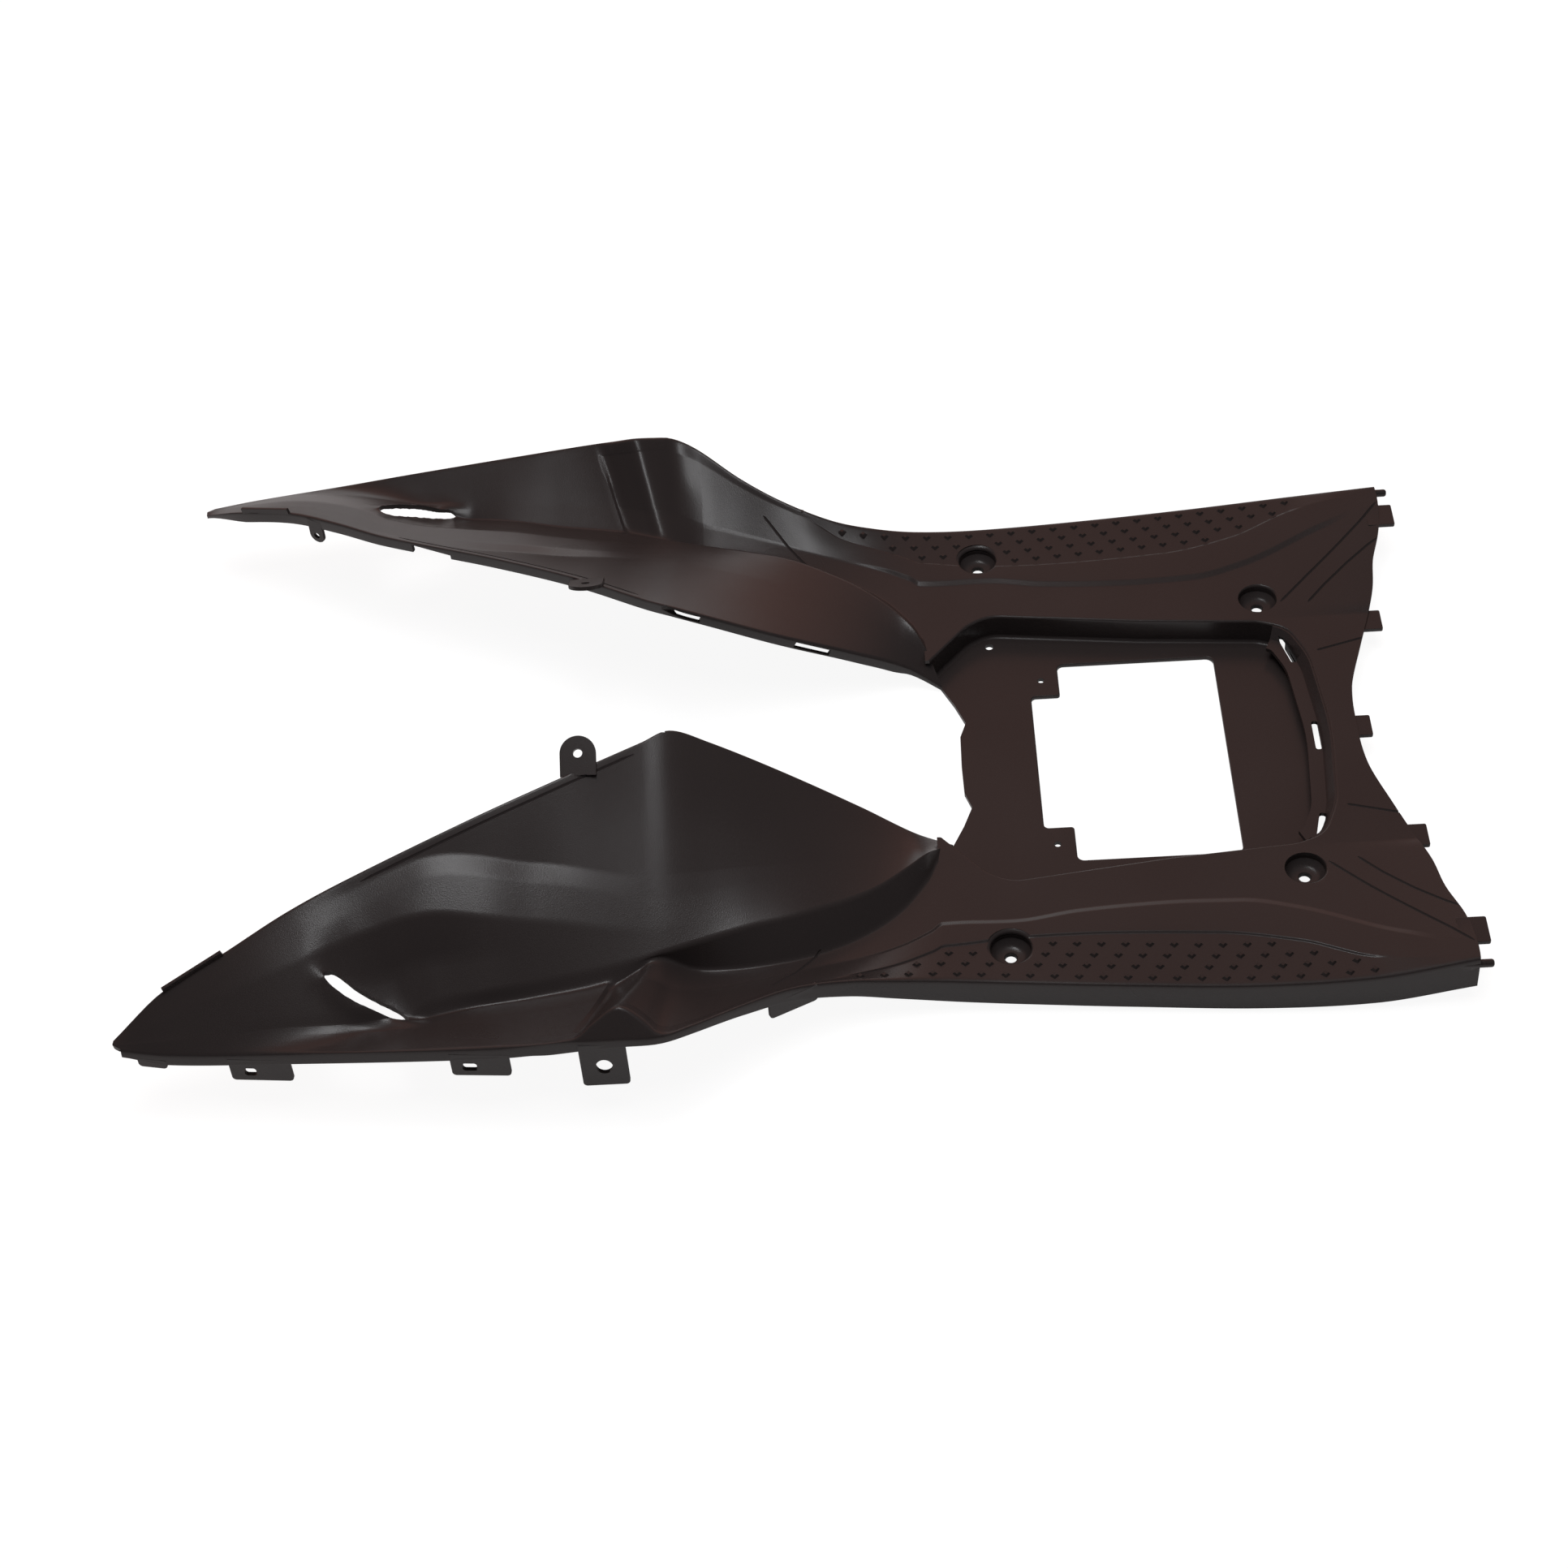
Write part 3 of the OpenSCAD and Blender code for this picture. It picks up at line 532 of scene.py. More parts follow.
def tube_faces(rings, n):
    """Faces of a closed solid whose points lie in rings of n points."""
    ends = [list(range(n)), [(rings - 1) * n + k for k in range(n)][::-1]]
    return ends + [[i * n + k, i * n + (k + 1) % n, (i + 1) * n + (k + 1) % n, (i + 1) * n + k]
                   for i in range(rings - 1) for k in range(n)]


def stack(levels):
    """A closed solid from pairs of outline and height, the outlines with as many points each."""
    n = len(levels[0][0])
    points = np.concatenate([np.column_stack([o, np.full(n, float(z))]) for o, z in levels])
    return points, tube_faces(len(levels), n)


def slab(outline, z0, z1, ease=0.0):
    """A plate with the outline's shape between two heights, with its edges eased."""
    if ease == 0:
        return stack([(outline, z0), (outline, z1)])
    small, near = grown(outline, -ease), grown(outline, -0.3 * ease)
    return stack([(small, z0), (near, z0 + 0.3 * ease), (outline, z0 + ease), (outline, z1 - ease),
                  (near, z1 - 0.3 * ease), (small, z1)])


def circle(r, x=0.0, y=0.0, n=40):
    """A round outline."""
    a = np.linspace(0, 2 * math.pi, n, endpoint=False)
    return np.column_stack([x + r * np.cos(a), y + r * np.sin(a)])


def box_outline(x0, y0, x1, y1, r=0.0):
    """A rectangle with rounded corners."""
    corners = [[x0, y0], [x1, y0], [x1, y1], [x0, y1]]
    return rounded(corners, [r] * 4) if r else np.array(corners, float)


def tongue(r, length):
    """Outline of a lug from its round end, of radius r about the origin, up to a length."""
    arc = np.linspace(math.pi, 2 * math.pi, 24)
    end = r * np.column_stack([np.cos(arc), np.sin(arc)])
    return np.concatenate([end, [[r, length], [-r, length]]])


def placed(solid, matrix):
    """A solid moved by a matrix."""
    m = np.array(matrix)
    return np.asarray(solid[0]) @ m[:3, :3].T + m[:3, 3], solid[1]


def both_sides(solids):
    """Solids of the left side with their mirror images."""
    return list(solids) + [(np.asarray(p) * [1, -1, 1], f) for p, f in solids]


def turned(axis, degrees):
    """Rotation about one of the axes."""
    return Matrix.Rotation(math.radians(degrees), 4, axis)


def moved(x, y, z):
    """Translation in millimetres."""
    return Matrix.Translation((x, y, z))


def point_on(table, x):
    """One point of one of the board's lines."""
    return line(table, np.array([float(x)]))[0]


def heading(a, b):
    """Direction from one point to another as seen from above, in degrees."""
    return math.degrees(math.atan2(b[1] - a[1], b[0] - a[0]))


def tray_outline():
    """Outline of the sunken tray."""
    return rounded(both_halves(TRAY_HALF), TRAY_ROUND + TRAY_ROUND[:-1][::-1])


def lip_levels(outline, lip):
    """Levels of a cut through the deck that round off its upper edge."""
    levels = [(grown(outline, lip * (1 - math.cos(a))), lip * (math.sin(a) - 1))
              for a in QUARTER]
    return levels + [(grown(outline, lip), 2.0)]


def tray_solid(sizes):
    """The tray's block and the hollow that is taken out of it, each a closed solid."""
    wall, depth, root = sizes.wall / MM, sizes.tray_depth / MM, sizes.root / MM
    outline = tray_outline()
    levels = [(grown(outline, root * (math.sin(a) - 1)), -depth + root * (1 - math.cos(a)))
              for a in QUARTER]
    levels += lip_levels(outline, sizes.lip / MM)
    return slab(grown(outline, wall), -depth - wall, -0.8, 0.4), stack(levels)


def rear_cut():
    """Space behind the tray's open rear edge."""
    half = [[-110, 0], [-110, 112], [-38, 112], [-38, 80]] + TRAY_REAR[::-1]
    return slab(both_halves(half), BELOW, 10)


def nose_cut():
    """Space ahead of the deck's front edge."""
    sides = np.linspace(0, NOSE[-1][0], 54)
    half = np.column_stack([line(NOSE, sides)[:, 1], sides])
    left = np.concatenate([half, [[half[-1, 0], 240], [300, 240]]])
    return slab(np.concatenate([left, left[:0:-1] * [1, -1]]), BELOW, ABOVE)


def at_skirt(x, turn=True):
    """Frame at the skirt's upper edge, turned along the board's outer edge where asked."""
    angle = heading(point_on(BASE, x - 6), point_on(BASE, x + 6)) if turn else 0
    return moved(*point_on(BASE, x)) @ turned("Z", angle)


def skirt_depth(x):
    """Height of the skirt at one station."""
    return float(eased(SKIRT, np.array([float(x)]))[0])


def at_bracket():
    """Frame of the leaning bracket on a wing's inner edge."""
    p = point_on(INNER, BRACKET_X)
    return moved(p[0], p[1], p[2] - 2.2) @ turned("X", -30) @ moved(0, -10, 0)


def at_hanger():
    """Frame of the hanging tab near a wing's tip."""
    p = point_on(INNER, HANGER_X)
    return moved(p[0], p[1] + 1.2, p[2] - 15) @ turned("Z", -30) @ turned("X", 90)


def added_parts(sizes):
    """Tabs, lugs, clips, pegs and screw bosses, clear of one another."""
    wall, ease, cup = sizes.wall / MM, sizes.ease / MM, sizes.cup_radius / MM
    left = []
    for x, width, drop, turn in TABS:
        half, deep = width / 2, skirt_depth(x) + drop
        flat = rounded([[-half, -deep], [half, -deep], [half, -3], [-half, -3]],
                       [2.5, 2.5, 0, 0])
        left.append(placed(slab(flat, -0.5, wall - 0.5, ease),
                           at_skirt(x, turn) @ turned("X", 90)))
    left.append(placed(slab(tongue(10.5, 13.5), 0, wall, ease), at_bracket()))
    left.append(placed(slab(tongue(5.5, 12.5), -1.1, 1.1, ease), at_hanger()))
    a, b = (point_on(INNER, x) for x in STRIP_X)
    reach = float(np.linalg.norm((b - a)[:2]))
    rise = math.degrees(math.atan2(b[2] - a[2], reach))
    left.append(placed(slab(box_outline(0, 0.4, reach + 2, 2.4), -3, 3, ease),
                       moved(*a) @ turned("Z", heading(a, b)) @ turned("Y", -rise)))
    side = point_on(FOLD, PEG_X + 6)[1]
    left.append(placed(stack([(circle(r, n=24), z) for r, z in PEG]),
                       moved(PEG_X, side - 0.4, 8) @ turned("Y", 90)))
    parts = both_sides(left)
    for side, lift, width in CLIPS:
        x, half, top = point_on(NOSE, abs(side))[1], width / 2, lift - 1.4
        parts.append(slab(box_outline(x - 8, side - half, x + 9, side + half, 1.2),
                          top - wall, top, ease))
    parts += [slab(circle(cup + 2.2, x, y, 64), -CUP_DEPTH - 3, -1.6, 0.6) for x, y in SCREWS]
    return parts


def ribs():
    """Ribs under the deck and across the front."""
    made = []
    for x, start in RIBS:
        p = point_on(FOLD, x)
        shape = np.array([[start, -10], [start, -1.3], [-150, -0.8], [2 - p[1], p[2] - 1.5],
                          [2 - p[1], -10]])
        made.append(placed(slab(shape, 0, RIB_WIDTH),
                           moved(x + RIB_WIDTH / 2, 0, 0) @ turned("Z", -90) @ turned("X", 90)))
    return both_sides(made) + [slab(box_outline(210.1, -84, 211.9, 84), -10, -1.2)]


def front_ledge(sizes):
    """Ledge along the tray's front wall, and the slope from it up to the deck."""
    outline = tray_outline()
    keep = np.flatnonzero(outline[:, 0] > 180)
    keep = keep[np.argsort(outline[keep, 1])]
    outer = grown(outline, 1.3)[keep]
    shape, foot, top = (np.concatenate([outer, grown(outline, d)[keep][::-1]])
                        for d in (-14, -5.2, -0.8))
    return (slab(shape, -LEDGE_DEPTH - sizes.wall / MM, -LEDGE_DEPTH),
            stack([(foot, -LEDGE_DEPTH - 0.6), (foot, -LEDGE_DEPTH), (top, -0.9)]))


def floor_cuts(sizes, height):
    """The battery opening, the slots of the front ledge, and the cups and holes of the screws."""
    depth, cup = sizes.tray_depth / MM, sizes.cup_radius / MM
    battery = rounded(np.array(BATTERY_HALF + [[x, -y] for x, y in BATTERY_HALF[::-1]]),
                      BATTERY_ROUND + BATTERY_ROUND[::-1])
    made = [stack([(battery, -30), (battery, -depth - 0.9), (grown(battery, 0.25), -depth - 0.4),
                   (grown(battery, 0.9), -depth), (grown(battery, 0.9), -depth + 3)])]
    for x, y, turn, reach in FRONT_SLOTS:
        # The tray's floor is open under a slot
        wide = box_outline(-4, -reach, 4, reach + 10, 1.5)
        narrow = box_outline(-1.9, -reach, 1.9, reach, 1.5)
        made.append(placed(stack([(wide, -30), (wide, -12), (narrow, -11), (narrow, -5)]),
                           moved(x, y, 0) @ turned("Z", turn)))
    for x, y in SCREWS:
        z = height(x + cup + 2, y)
        profile = [(SCREW_RADIUS, -20), (SCREW_RADIUS, -CUP_DEPTH - 0.6),
                   (SCREW_RADIUS + 0.5, -CUP_DEPTH), (cup * 0.62, -CUP_DEPTH),
                   (cup * 0.8, -6.8), (cup, -4), (cup, z - 1.3), (cup + 0.4, z - 0.5),
                   (cup + 1.1, z), (cup + 2, z + 0.4), (cup + 2, z + 6)]
        made.append(stack([(circle(r, x, y, 64), h) for r, h in profile]))
    return made


def wing_cuts(sizes, height):
    """Holes of the left side's tabs, windows of its flange, its crescent slot and its lines."""
    left = [slab(circle(r, x, y, 24), -30, -12) for r, x, y in FLOOR_HOLES]
    for x, half in TAB_SLOTS:
        place = at_skirt(x) @ moved(-6, 0, -skirt_depth(x) - 6.6) @ turned("X", 90)
        left.append(placed(slab(box_outline(-half, -3.1, half, 3.1, 1.7), -10, 10), place))
    hole = moved(0, 0, -skirt_depth(ROUND_TAB_X) - 14) @ turned("X", 90)
    left.append(placed(slab(circle(1) * [4.7, 5.8], -10, 10), at_skirt(ROUND_TAB_X, False) @ hole))
    left.append(placed(slab(circle(2.7), -5, 7), at_bracket()))
    left.append(placed(slab(circle(2.2, n=24), -6, 6), at_hanger()))
    for x in WINDOWS_X:
        p, q = point_on(INNER, x), point_on(INNER, x + 6)
        dip = math.degrees(math.atan2(p[2] - q[2], q[0] - p[0]))
        left.append(placed(slab(box_outline(-13.5, -3, 11, 3.5), -2.25, 2.25),
                           moved(p[0], p[1], p[2] - 5.04) @ turned("Z", heading(p, q))
                           @ turned("Y", dip)))
    g = point_on(INNER, GAP_X)
    left.append(placed(slab(box_outline(-14, -4, 14, 3.4), -5.2, 5.2),
                       moved(g[0], g[1], g[2] - 9.1) @ turned("Z", -28)))
    left.append(slab(box_outline(*LOOSE_STRIP), -3.6, 3))
    crescent = np.concatenate([smooth(SLOT_INNER, 30), smooth(SLOT_OUTER, 30)[::-1]])
    left.append(slab(crescent, 5, 90))
    edge = line(INNER, np.linspace(*EDGE_LINE_X, 20))[:, :2] + EDGE_LINE_SHIFT
    return left + [groove(points, sizes, height) for points in (*FRONT_LINES, PANEL_LINE, edge)]


def swept(path, section):
    """A closed solid: a section of side and height offsets along a path, small at its ends."""
    path = np.asarray(path, float)
    along = np.gradient(path, axis=0)
    side = np.column_stack([-along[:, 1], along[:, 0], 0 * along[:, 0]])
    side /= np.linalg.norm(side, axis=1)[:, None]
    n = len(path)
    size = np.clip(np.minimum(np.arange(n) + 0.4, n - 0.6 - np.arange(n)), 0, 1)
    out, over = np.array(section, float).T
    points = np.concatenate([path[i] + size[i] * (np.outer(out, side[i])
                                                  + np.outer(over, [0, 0, 1]))
                             for i in range(n)])
    return points, tube_faces(n, len(section))


def groove(points, sizes, height):
    """Cut for a line that is pressed into the deck."""
    knots = np.asarray(points, float)
    length = run(knots)
    s = np.linspace(0, length[-1], 28)
    xy = np.column_stack([np.interp(s, length, knots[:, k]) for k in (0, 1)])
    w, d = sizes.groove_width / MM / 2, sizes.groove_depth / MM
    return swept([(x, y, height(x, y)) for x, y in xy],
                 [(0, -d), (w * 0.6, -d * 0.6), (w, 0.05), (w, 1.5), (-w, 1.5), (-w, 0.05),
                  (-w * 0.6, -d * 0.6)])


def finished(piece):
    """The mesh of a piece with its modifiers, which are removed."""
    mesh = bpy.data.meshes.new_from_object(
        piece.evaluated_get(bpy.context.evaluated_depsgraph_get()))
    piece.modifiers.clear()
    if len(mesh.polygons) == 0:
        raise RuntimeError(f"{piece.name} came out empty")
    return mesh


def joined(piece, other, operation):
    """Joins, or with DIFFERENCE cuts, one closed mesh with another, and removes the other."""
    modifier = piece.modifiers.new("joined", "BOOLEAN")
    modifier.operation = operation
    modifier.solver = "MANIFOLD"
    modifier.object = other
    old = piece.data
    piece.data = finished(piece)
    bpy.data.meshes.remove(old)
    mesh = other.data
    bpy.data.objects.remove(other)
    bpy.data.meshes.remove(mesh)


def shell_piece(sizes):
    """The whole moulding as one closed mesh."""
    points, faces = sheet_mesh(sizes.wall / MM)
    piece = made_mesh("moulded_shell", [(points, faces)])
    tree = BVHTree.FromPolygons(points.tolist(), faces)

    def height(x, y):
        """Height of the sheet's upper side at a place of the deck."""
        hit = tree.ray_cast(Vector((x, y, 2 * ABOVE)), Vector((0, 0, -1)))[0]
        return hit.z if hit else 0.0

    outline = tray_outline()
    deck_cut = stack([(outline, -sizes.wall / MM - 0.6)] + lip_levels(outline, sizes.lip / MM))
    for part in (deck_cut, nose_cut()):
        joined(piece, made_mesh("cut", [part]), "DIFFERENCE")
    block, hollow = tray_solid(sizes)
    tray = made_mesh("tray", [block])
    for part in (hollow, rear_cut()):
        joined(tray, made_mesh("cut", [part]), "DIFFERENCE")
    joined(piece, tray, "UNION")
    ledge, slope = front_ledge(sizes)
    for parts in ([ledge], [slope], added_parts(sizes), ribs()):
        joined(piece, made_mesh("added", parts), "UNION")
    openings = floor_cuts(sizes, height) + both_sides(wing_cuts(sizes, height))
    joined(piece, made_mesh("openings", openings), "DIFFERENCE")
    return piece


def shaded(piece, angle):
    """Smooth shading with sharp edges from an angle, led by the large faces."""
    mesh = piece.data
    mesh.shade_smooth()
    mesh.set_sharp_from_angle(angle=angle)
    weighted = piece.modifiers.new("normals", "WEIGHTED_NORMAL")
    weighted.keep_sharp = True
    weighted.weight = 50


def new_tree(name, kind, inputs, outputs):
    """An empty node group with named sockets, given as pairs of name and kind with a default."""
    tree = bpy.data.node_groups.new(name, kind)
    for label, sort, default in inputs:
        socket = tree.interface.new_socket(label, in_out="INPUT", socket_type=sort)
        if default is not None:
            socket.default_value = default
    for label, sort in outputs:
        tree.interface.new_socket(label, in_out="OUTPUT", socket_type=sort)
    return tree


def feed(node, inputs):
    """Links a node's inputs to sockets, or gives them values."""
    for name, value in inputs.items():
        if isinstance(value, bpy.types.NodeSocket):
            node.id_data.links.new(value, node.inputs[name])
        else:
            node.inputs[name].default_value = value
    return node


def add_node(tree, kind, inputs=None, **settings):
    """A new node with its settings and its inputs."""
    node = tree.nodes.new(kind)
    for name, value in settings.items():
        setattr(node, name, value)
    return feed(node, inputs or {})


def grain_group():
    """Shader group: fine moulded grain as a height, and soft clouds as a mask."""
    name = "Moulded grain"
    if name in bpy.data.node_groups:
        return bpy.data.node_groups[name]
    tree = new_tree(name, "ShaderNodeTree",
                    [("Position", "NodeSocketVector", None),
                     ("Grain Scale", "NodeSocketFloat", 1500.0),
                     ("Cloud Scale", "NodeSocketFloat", 9.0)],
                    [("Height", "NodeSocketFloat"), ("Clouds", "NodeSocketFloat")])
    start = add_node(tree, "NodeGroupInput").outputs
    grains = {"Vector": start["Position"], "Scale": start["Grain Scale"]}
    pebbles = add_node(tree, "ShaderNodeTexVoronoi", {**grains, "Smoothness": 0.6},
                       feature="SMOOTH_F1")
    fine = add_node(tree, "ShaderNodeTexNoise", {**grains, "Detail": 3.0})
    clouds = add_node(tree, "ShaderNodeTexNoise", {
        "Vector": start["Position"], "Scale": start["Cloud Scale"], "Detail": 2.0})
    mix = add_node(tree, "ShaderNodeMath", {
        0: fine.outputs["Fac"], 1: 0.5, 2: pebbles.outputs["Distance"]}, operation="MULTIPLY_ADD")
    add_node(tree, "NodeGroupOutput", {"Height": mix.outputs[0], "Clouds": clouds.outputs["Fac"]})
    return tree


def plastic(name, look, darker=1.0):
    """Moulded plastic: near black, a little cloudy, with a fine grain, made darker by the given
    share where it carries painted shade.
    """
    material = bpy.data.materials.new(name)
    material.use_nodes = True
    tree = material.node_tree
    place = add_node(tree, "ShaderNodeTexCoord")
    grain = add_node(tree, "ShaderNodeGroup", {"Position": place.outputs["Object"]},
                     node_tree=grain_group()).outputs
    colour = add_node(tree, "ShaderNodeMix", {
        "Factor": grain["Clouds"], "A": (*[c * darker for c in look.colour], 1),
        "B": (*[c * darker for c in look.pale], 1)}, data_type="RGBA")
    rough = add_node(tree, "ShaderNodeMapRange", {
        "Value": grain["Clouds"], "To Min": look.roughness - 0.06,
        "To Max": look.roughness + 0.06})
    bump = add_node(tree, "ShaderNodeBump", {
        "Strength": 0.6, "Distance": look.grain, "Height": grain["Height"]})
    feed(tree.nodes["Principled BSDF"], {
        "Base Color": colour.outputs["Result"], "Roughness": rough.outputs["Result"],
        "Normal": bump.outputs["Normal"], "IOR": 1.46, "Specular IOR Level": 0.5})
    return material


class FLOORBOARD_OT_shell(bpy.types.Operator):
    """Make the moulded shell with its tray, cups, tabs and openings"""

    bl_idname = "floorboard.shell"
    bl_label = "Moulded shell"

    def execute(self, context):
        sizes = context.scene.floorboard_shell
        piece = shell_piece(sizes)
        shaded(piece, sizes.sharp_angle)
        piece.data.materials.clear()
        piece.data.materials.append(plastic("moulded_plastic", context.scene.floorboard_plastic))
        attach(piece, BODY)
        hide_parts(NODE)
        return {"FINISHED"}


# Distances of the rows of grip marks from the outer fold, and where a row may start and end
MARK_ROWS = (5.0, 13.4, 21.8, 30.2)
MARK_START, MARK_END = -100.0, 202.0
# Share of the pitch by which each row stands ahead of the row outside it
MARK_SHIFT = 0.35
# Free strip between the marks and the pad's edge
MARK_MARGIN = 4.6
# How deep a mark's foot stands in the pad
MARK_SINK = 0.4
# Colour of the marks as a share of the shell's, darker as painted shade on the studs
MARK_PAINTED_SHADE = 0.9
# Free rim round a screw cup, in metres
CUP_RIM = 0.0012


def mark_lines(pitch):
    """Lines along the grip pads that the marks stand on, as points and edges."""
    points, edges = [], []
    for k, inboard in enumerate(MARK_ROWS):
        lattice = np.arange(MARK_START + (k * MARK_SHIFT % 1) * pitch, MARK_END, pitch)
        rows = sections(lattice)
        fold, pad = rows[:, 2], rows[:, 3]
        inside = fold[:, 1] - inboard > pad[:, 1] + MARK_MARGIN * 0.5
        if not inside.any():
            continue
        xs = lattice[inside]
        stations = np.arange(xs[0], xs[-1] + 0.1, pitch / 2)
        rows = sections(stations)
        y = rows[:, 2, 1] - inboard
        z = [np.interp(y[i], rows[i, [3, 2], 1], rows[i, [3, 2], 2]) for i in range(len(stations))]
        for side in (1, -1):
            start = len(points)
            points += [(x, side * a, b + DECK_Z - MARK_SINK) for x, a, b in zip(stations, y, z)]
            edges += [(start + i, start + i + 1) for i in range(len(stations) - 1)]
    return [tuple(c * MM for c in p) for p in points], edges


def marks_tree():
    """Geometry nodes that set a low four-sided stud at every pitch along the lines."""
    tree = new_tree(
        "Grip marks", "GeometryNodeTree",
        [("Geometry", "NodeSocketGeometry", None), ("Pitch", "NodeSocketFloat", 0.0137),
         ("Radius", "NodeSocketFloat", 0.003), ("Top Radius", "NodeSocketFloat", 0.0014),
         ("Depth", "NodeSocketFloat", 0.0018), ("Clear Of Cup", "NodeSocketFloat", 0.016),
         ("Material", "NodeSocketMaterial", None)],
        [("Geometry", "NodeSocketGeometry")])
    start = add_node(tree, "NodeGroupInput").outputs
    curve = add_node(tree, "GeometryNodeMeshToCurve", {"Mesh": start["Geometry"]})
    spaced = add_node(tree, "GeometryNodeResampleCurve", {
        "Curve": curve.outputs["Curve"], "Length": start["Pitch"]}, mode="LENGTH")
    stud = add_node(tree, "GeometryNodeMeshCone", {
        "Vertices": 4, "Radius Bottom": start["Radius"], "Radius Top": start["Top Radius"],
        "Depth": start["Depth"]})
    # Distance of each point from the nearer outer cup, seen from above
    place = add_node(tree, "GeometryNodeInputPosition")
    apart = add_node(tree, "ShaderNodeSeparateXYZ", {"Vector": place.outputs["Position"]})
    side = add_node(tree, "ShaderNodeMath", {0: apart.outputs["Y"]}, operation="ABSOLUTE")
    flat = add_node(tree, "ShaderNodeCombineXYZ", {
        "X": apart.outputs["X"], "Y": side.outputs[0]})
    reach = add_node(tree, "ShaderNodeVectorMath", {
        0: flat.outputs["Vector"], 1: (SCREWS[0][0] * MM, SCREWS[0][1] * MM, 0)},
        operation="DISTANCE")
    free = add_node(tree, "FunctionNodeCompare", {
        "A": reach.outputs["Value"], "B": start["Clear Of Cup"]}, operation="GREATER_THAN")
    stand = add_node(tree, "GeometryNodeInstanceOnPoints", {
        "Points": spaced.outputs["Curve"], "Selection": free.outputs["Result"],
        "Instance": stud.outputs["Mesh"]})
    real = add_node(tree, "GeometryNodeRealizeInstances", {
        "Geometry": stand.outputs["Instances"]})
    paint = add_node(tree, "GeometryNodeSetMaterial", {
        "Geometry": real.outputs["Geometry"], "Material": start["Material"]})
    add_node(tree, "NodeGroupOutput", {"Geometry": paint.outputs["Geometry"]})
    return tree


def grown_piece(name, base, tree, values):
    """A piece from a base mesh and a geometry nodes tree whose named inputs get the values."""
    piece = linked(name, base)
    modifier = piece.modifiers.new(name, "NODES")
    modifier.node_group = tree
    sockets = {s.name: s.identifier for s in tree.interface.items_tree
               if s.item_type == "SOCKET" and s.in_out == "INPUT"}
    for label, value in values.items():
        modifier[sockets[label]] = value
    piece.update_tag()
    piece.data = finished(piece)
    return piece


class FLOORBOARD_OT_marks(bpy.types.Operator):
    """Set the grip marks on both pads"""

    bl_idname = "floorboard.marks"
    bl_label = "Grip marks"

    def execute(self, context):
        sizes = context.scene.floorboard_marks
        points, edges = mark_lines(sizes.pitch / MM)
        base = bpy.data.meshes.new("mark_lines")
        base.from_pydata(points, edges, [])
        # The marks get a darker copy of the shell's plastic: painted shade on the studs
        plain = plastic("mark_plastic_painted_shade", context.scene.floorboard_plastic, MARK_PAINTED_SHADE)
        piece = grown_piece("grip_marks", base, marks_tree(), {
            "Pitch": sizes.pitch, "Radius": sizes.radius, "Top Radius": sizes.top,
            "Depth": sizes.depth, "Material": plain,
            "Clear Of Cup": context.scene.floorboard_shell.cup_radius + sizes.radius + CUP_RIM})
        shaded(piece, context.scene.floorboard_shell.sharp_angle)
        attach(piece, BODY)
        return {"FINISHED"}


# Place of the camera in metres, and its aim as elevation, azimuth and roll in degrees
CAMERA_PLACE = (-0.0629, -1.3043, 1.3316)
CAMERA_AIM = (45.94, 2.90, -5.14)
# Place, aim, size and colour of the softbox over the near wing, in metres
SOFTBOX = (-0.2, 0.03, 1.15), (-0.3, 0.0, 0.05), (0.5, 0.2), (0.96, 0.98, 1.0)
# Shift of the fill lamp from the board's middle, its height, size and colour
FILL_SHIFT, FILL_HEIGHT, FILL_SIZE, FILL_COLOUR = 0.1, 2.1, (1.9, 1.2), (1.0, 0.97, 0.96)
# Colours of the room behind the camera and behind the board, and where they start on the ramp
ROOM_DARK, ROOM_PALE = (0.55, (0.07, 0.07, 0.075, 1)), (0.86, (0.42, 0.20, 0.16, 1))
# How much darker the room is ahead of the board, and where the backdrop starts
ROOM_AHEAD, BACKDROP_START = -0.6, 0.85
# Glow of the floor, and what share of it the camera and reflections see
FLOOR_GLOW, FLOOR_SEEN, FLOOR_REFLECTED = 1.28, 0.72, 0.1
# How far the floor lies under the board's lowest point, in metres
FLOOR_GAP = 0.0005


def camera(settings):
    """Camera at the photograph's place and angle."""
    data = bpy.data.cameras.new("camera")
    data.sensor_width = 36.0
    data.lens = settings.focal_length
    data.clip_start, data.clip_end = 0.05, 60.0
    rig = linked("camera", data)
    e, a, r = (math.radians(v) for v in CAMERA_AIM)
    back = Vector((math.sin(a) * math.cos(e), -math.cos(a) * math.cos(e), math.sin(e)))
    level = Vector((math.cos(a), math.sin(a), 0))
    upright = back.cross(level)
    right = level * math.cos(r) + upright * math.sin(r)
    up = upright * math.cos(r) - level * math.sin(r)
    turn = Matrix((right, up, back)).transposed().to_4x4()
    rig.matrix_world = Matrix.Translation(CAMERA_PLACE) @ turn
    bpy.context.scene.camera = rig


def lamp(name, place, aim, size, colour, power):
    """A soft rectangular lamp."""
    data = bpy.data.lights.new(name, "AREA")
    data.shape = "RECTANGLE"
    data.size, data.size_y = size
    data.energy = power
    data.color = colour
    rig = linked(name, data)
    rig.location = place
    rig.rotation_mode = "QUATERNION"
    rig.rotation_quaternion = (Vector(place) - Vector(aim)).to_track_quat("Z", "Y")
    return rig


def white_where_seen(tree, dim, seen, shares):
    """Mixes two shaders by light path: each kind of ray gets its share of the second one."""
    path = add_node(tree, "ShaderNodeLightPath").outputs
    total, *others = (
        add_node(tree, "ShaderNodeMath", {0: path[kind], 1: share}, operation="MULTIPLY")
        for kind, share in shares)
    for part in others:
        total = add_node(tree, "ShaderNodeMath", {0: total.outputs[0], 1: part.outputs[0]},
                         operation="MAXIMUM")
    return add_node(tree, "ShaderNodeMixShader", {
        "Fac": total.outputs[0], 1: dim.outputs[0], 2: seen.outputs[0]}).outputs[0]


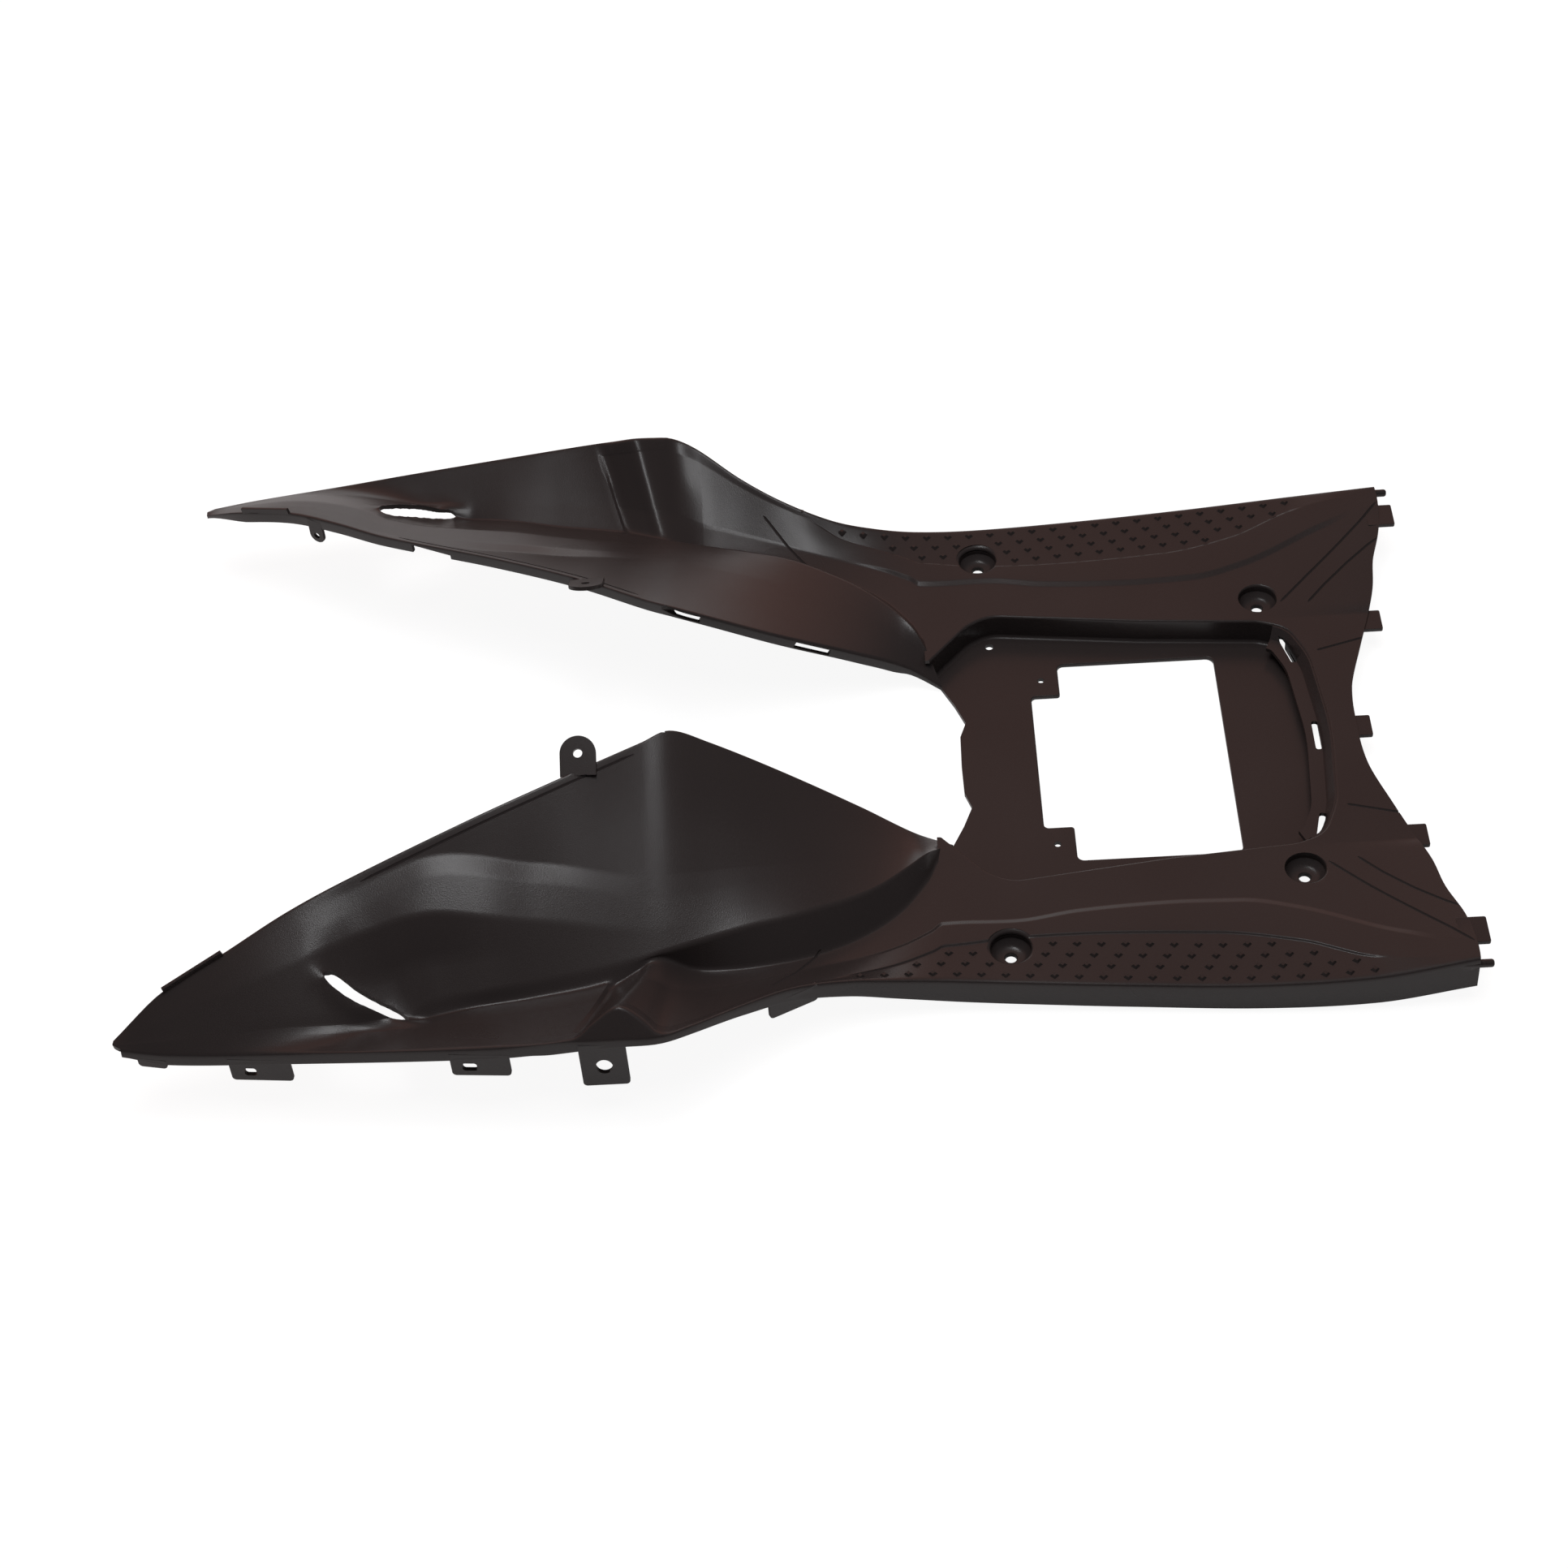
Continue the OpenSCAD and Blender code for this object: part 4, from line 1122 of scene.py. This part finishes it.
def studio_world(settings):
    """Even room light, a white background for the camera, and a pale backdrop in reflections."""
    world = bpy.data.worlds.new("studio")
    bpy.context.scene.world = world
    world.use_nodes = True
    tree = world.node_tree
    # The room is paler behind the board than behind the camera, and darker ahead of its front
    ray = add_node(tree, "ShaderNodeTexCoord")
    apart = add_node(tree, "ShaderNodeSeparateXYZ", {"Vector": ray.outputs["Generated"]})
    ahead = add_node(tree, "ShaderNodeMath", {0: apart.outputs["X"], 1: 0.0},
                     operation="MAXIMUM")
    behind = add_node(tree, "ShaderNodeMath", {
        0: ahead.outputs[0], 1: ROOM_AHEAD, 2: apart.outputs["Y"]},
        operation="MULTIPLY_ADD").outputs[0]
    shift = add_node(tree, "ShaderNodeMapRange", {
        "Value": behind, "From Min": -1.0, "From Max": 1.0})
    ramp = add_node(tree, "ShaderNodeValToRGB", {"Fac": shift.outputs["Result"]})
    for stop, (position, colour) in zip(ramp.color_ramp.elements, (ROOM_DARK, ROOM_PALE)):
        stop.position, stop.color = position, colour
    room = feed(tree.nodes["Background"], {
        "Color": ramp.outputs["Color"], "Strength": settings.room_light})
    white = add_node(tree, "ShaderNodeBackground", {"Color": (1, 1, 1, 1)})
    # Low backdrop on the far side, seen in reflections
    backdrop = add_node(tree, "ShaderNodeMapRange", {
        "Value": behind, "From Min": BACKDROP_START, "From Max": 1.0})
    feed(tree.nodes["World Output"], {"Surface": white_where_seen(tree, room, white, (
        ("Is Camera Ray", 1.0), ("Is Transmission Ray", 1.0),
        ("Is Glossy Ray", backdrop.outputs["Result"])))})


def studio_floor(settings, height):
    """Plain pale floor that keeps the board's shadow and runs out to white."""
    half = settings.floor_size / 2
    mesh = bpy.data.meshes.new("studio_floor")
    mesh.from_pydata([(-half, -half, height), (half, -half, height), (half, half, height),
                      (-half, half, height)], [], [(0, 1, 2, 3)])
    floor = linked("studio_floor", mesh)
    material = bpy.data.materials.new("pale_floor")
    material.use_nodes = True
    tree = material.node_tree
    pale = feed(tree.nodes["Principled BSDF"], {
        "Base Color": (0.86, 0.86, 0.86, 1), "Roughness": 0.9, "Specular IOR Level": 0.1})
    glow = add_node(tree, "ShaderNodeEmission", {"Color": (1, 1, 1, 1), "Strength": FLOOR_GLOW})
    feed(tree.nodes["Material Output"], {"Surface": white_where_seen(tree, pale, glow, (
        ("Is Camera Ray", FLOOR_SEEN), ("Is Transmission Ray", FLOOR_SEEN),
        ("Is Glossy Ray", FLOOR_REFLECTED)))})
    mesh.materials.append(material)
    floor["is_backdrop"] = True


class FLOORBOARD_OT_stage(bpy.types.Operator):
    """Set up the floor, the soft light and the camera"""

    bl_idname = "floorboard.stage"
    bl_label = "Studio stage"

    def execute(self, context):
        settings = context.scene.floorboard_stage
        context.scene.view_settings.view_transform = "Standard"
        low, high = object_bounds()
        studio_floor(settings, low.z - FLOOR_GAP)
        studio_world(settings)
        middle = (low + high) / 2
        lamp("softbox", *SOFTBOX, settings.softbox_power)
        # The fill lights the board evenly and shows in no reflection
        fill = lamp("fill", (middle.x + FILL_SHIFT, middle.y, FILL_HEIGHT), middle, FILL_SIZE,
                    FILL_COLOUR, settings.fill_power)
        fill.visible_glossy = False
        camera(settings)
        return {"FINISHED"}


class FLOORBOARD_PT_panel(bpy.types.Panel):
    """Lists the board's pieces and their sizes"""

    bl_label = "Floorboard"
    bl_idname = "FLOORBOARD_PT_panel"
    bl_space_type = "VIEW_3D"
    bl_region_type = "UI"
    bl_category = "Floorboard"

    def draw(self, context):
        for group, names, operator in PIECES:
            settings = getattr(context.scene, group)
            box = self.layout.box()
            for name in names:
                box.prop(settings, name)
            if operator:
                box.operator(operator)


# Settings of each piece, their names, and the operator that makes it
PIECES = (
    ("floorboard_plastic", ("colour", "pale", "roughness", "grain"), None),
    ("floorboard_shell", ("wall", "tray_depth", "ease", "lip", "root", "cup_radius",
                          "groove_width", "groove_depth", "sharp_angle"), "floorboard.shell"),
    ("floorboard_marks", ("pitch", "radius", "top", "depth"), "floorboard.marks"),
    ("floorboard_stage", ("focal_length", "softbox_power", "fill_power", "room_light",
                          "floor_size"), "floorboard.stage"),
)
SETTINGS = {
    "floorboard_plastic": FloorboardPlastic,
    "floorboard_shell": FloorboardShell,
    "floorboard_marks": FloorboardMarks,
    "floorboard_stage": FloorboardStage,
}
CLASSES = (*SETTINGS.values(), FLOORBOARD_OT_shell, FLOORBOARD_OT_marks, FLOORBOARD_OT_stage,
           FLOORBOARD_PT_panel)


def register():
    """Registers the classes and gives the scene their settings."""
    for cls in CLASSES:
        bpy.utils.register_class(cls)
    for name, group in SETTINGS.items():
        setattr(bpy.types.Scene, name, bpy.props.PointerProperty(type=group))


def unregister():
    """Takes the settings and classes away again."""
    for name in SETTINGS:
        delattr(bpy.types.Scene, name)
    for cls in reversed(CLASSES):
        bpy.utils.unregister_class(cls)


def main():
    """Makes every piece and the stage."""
    register()
    bpy.ops.floorboard.shell()
    bpy.ops.floorboard.marks()
    bpy.ops.floorboard.stage()


if __name__ == "__main__":
    main()
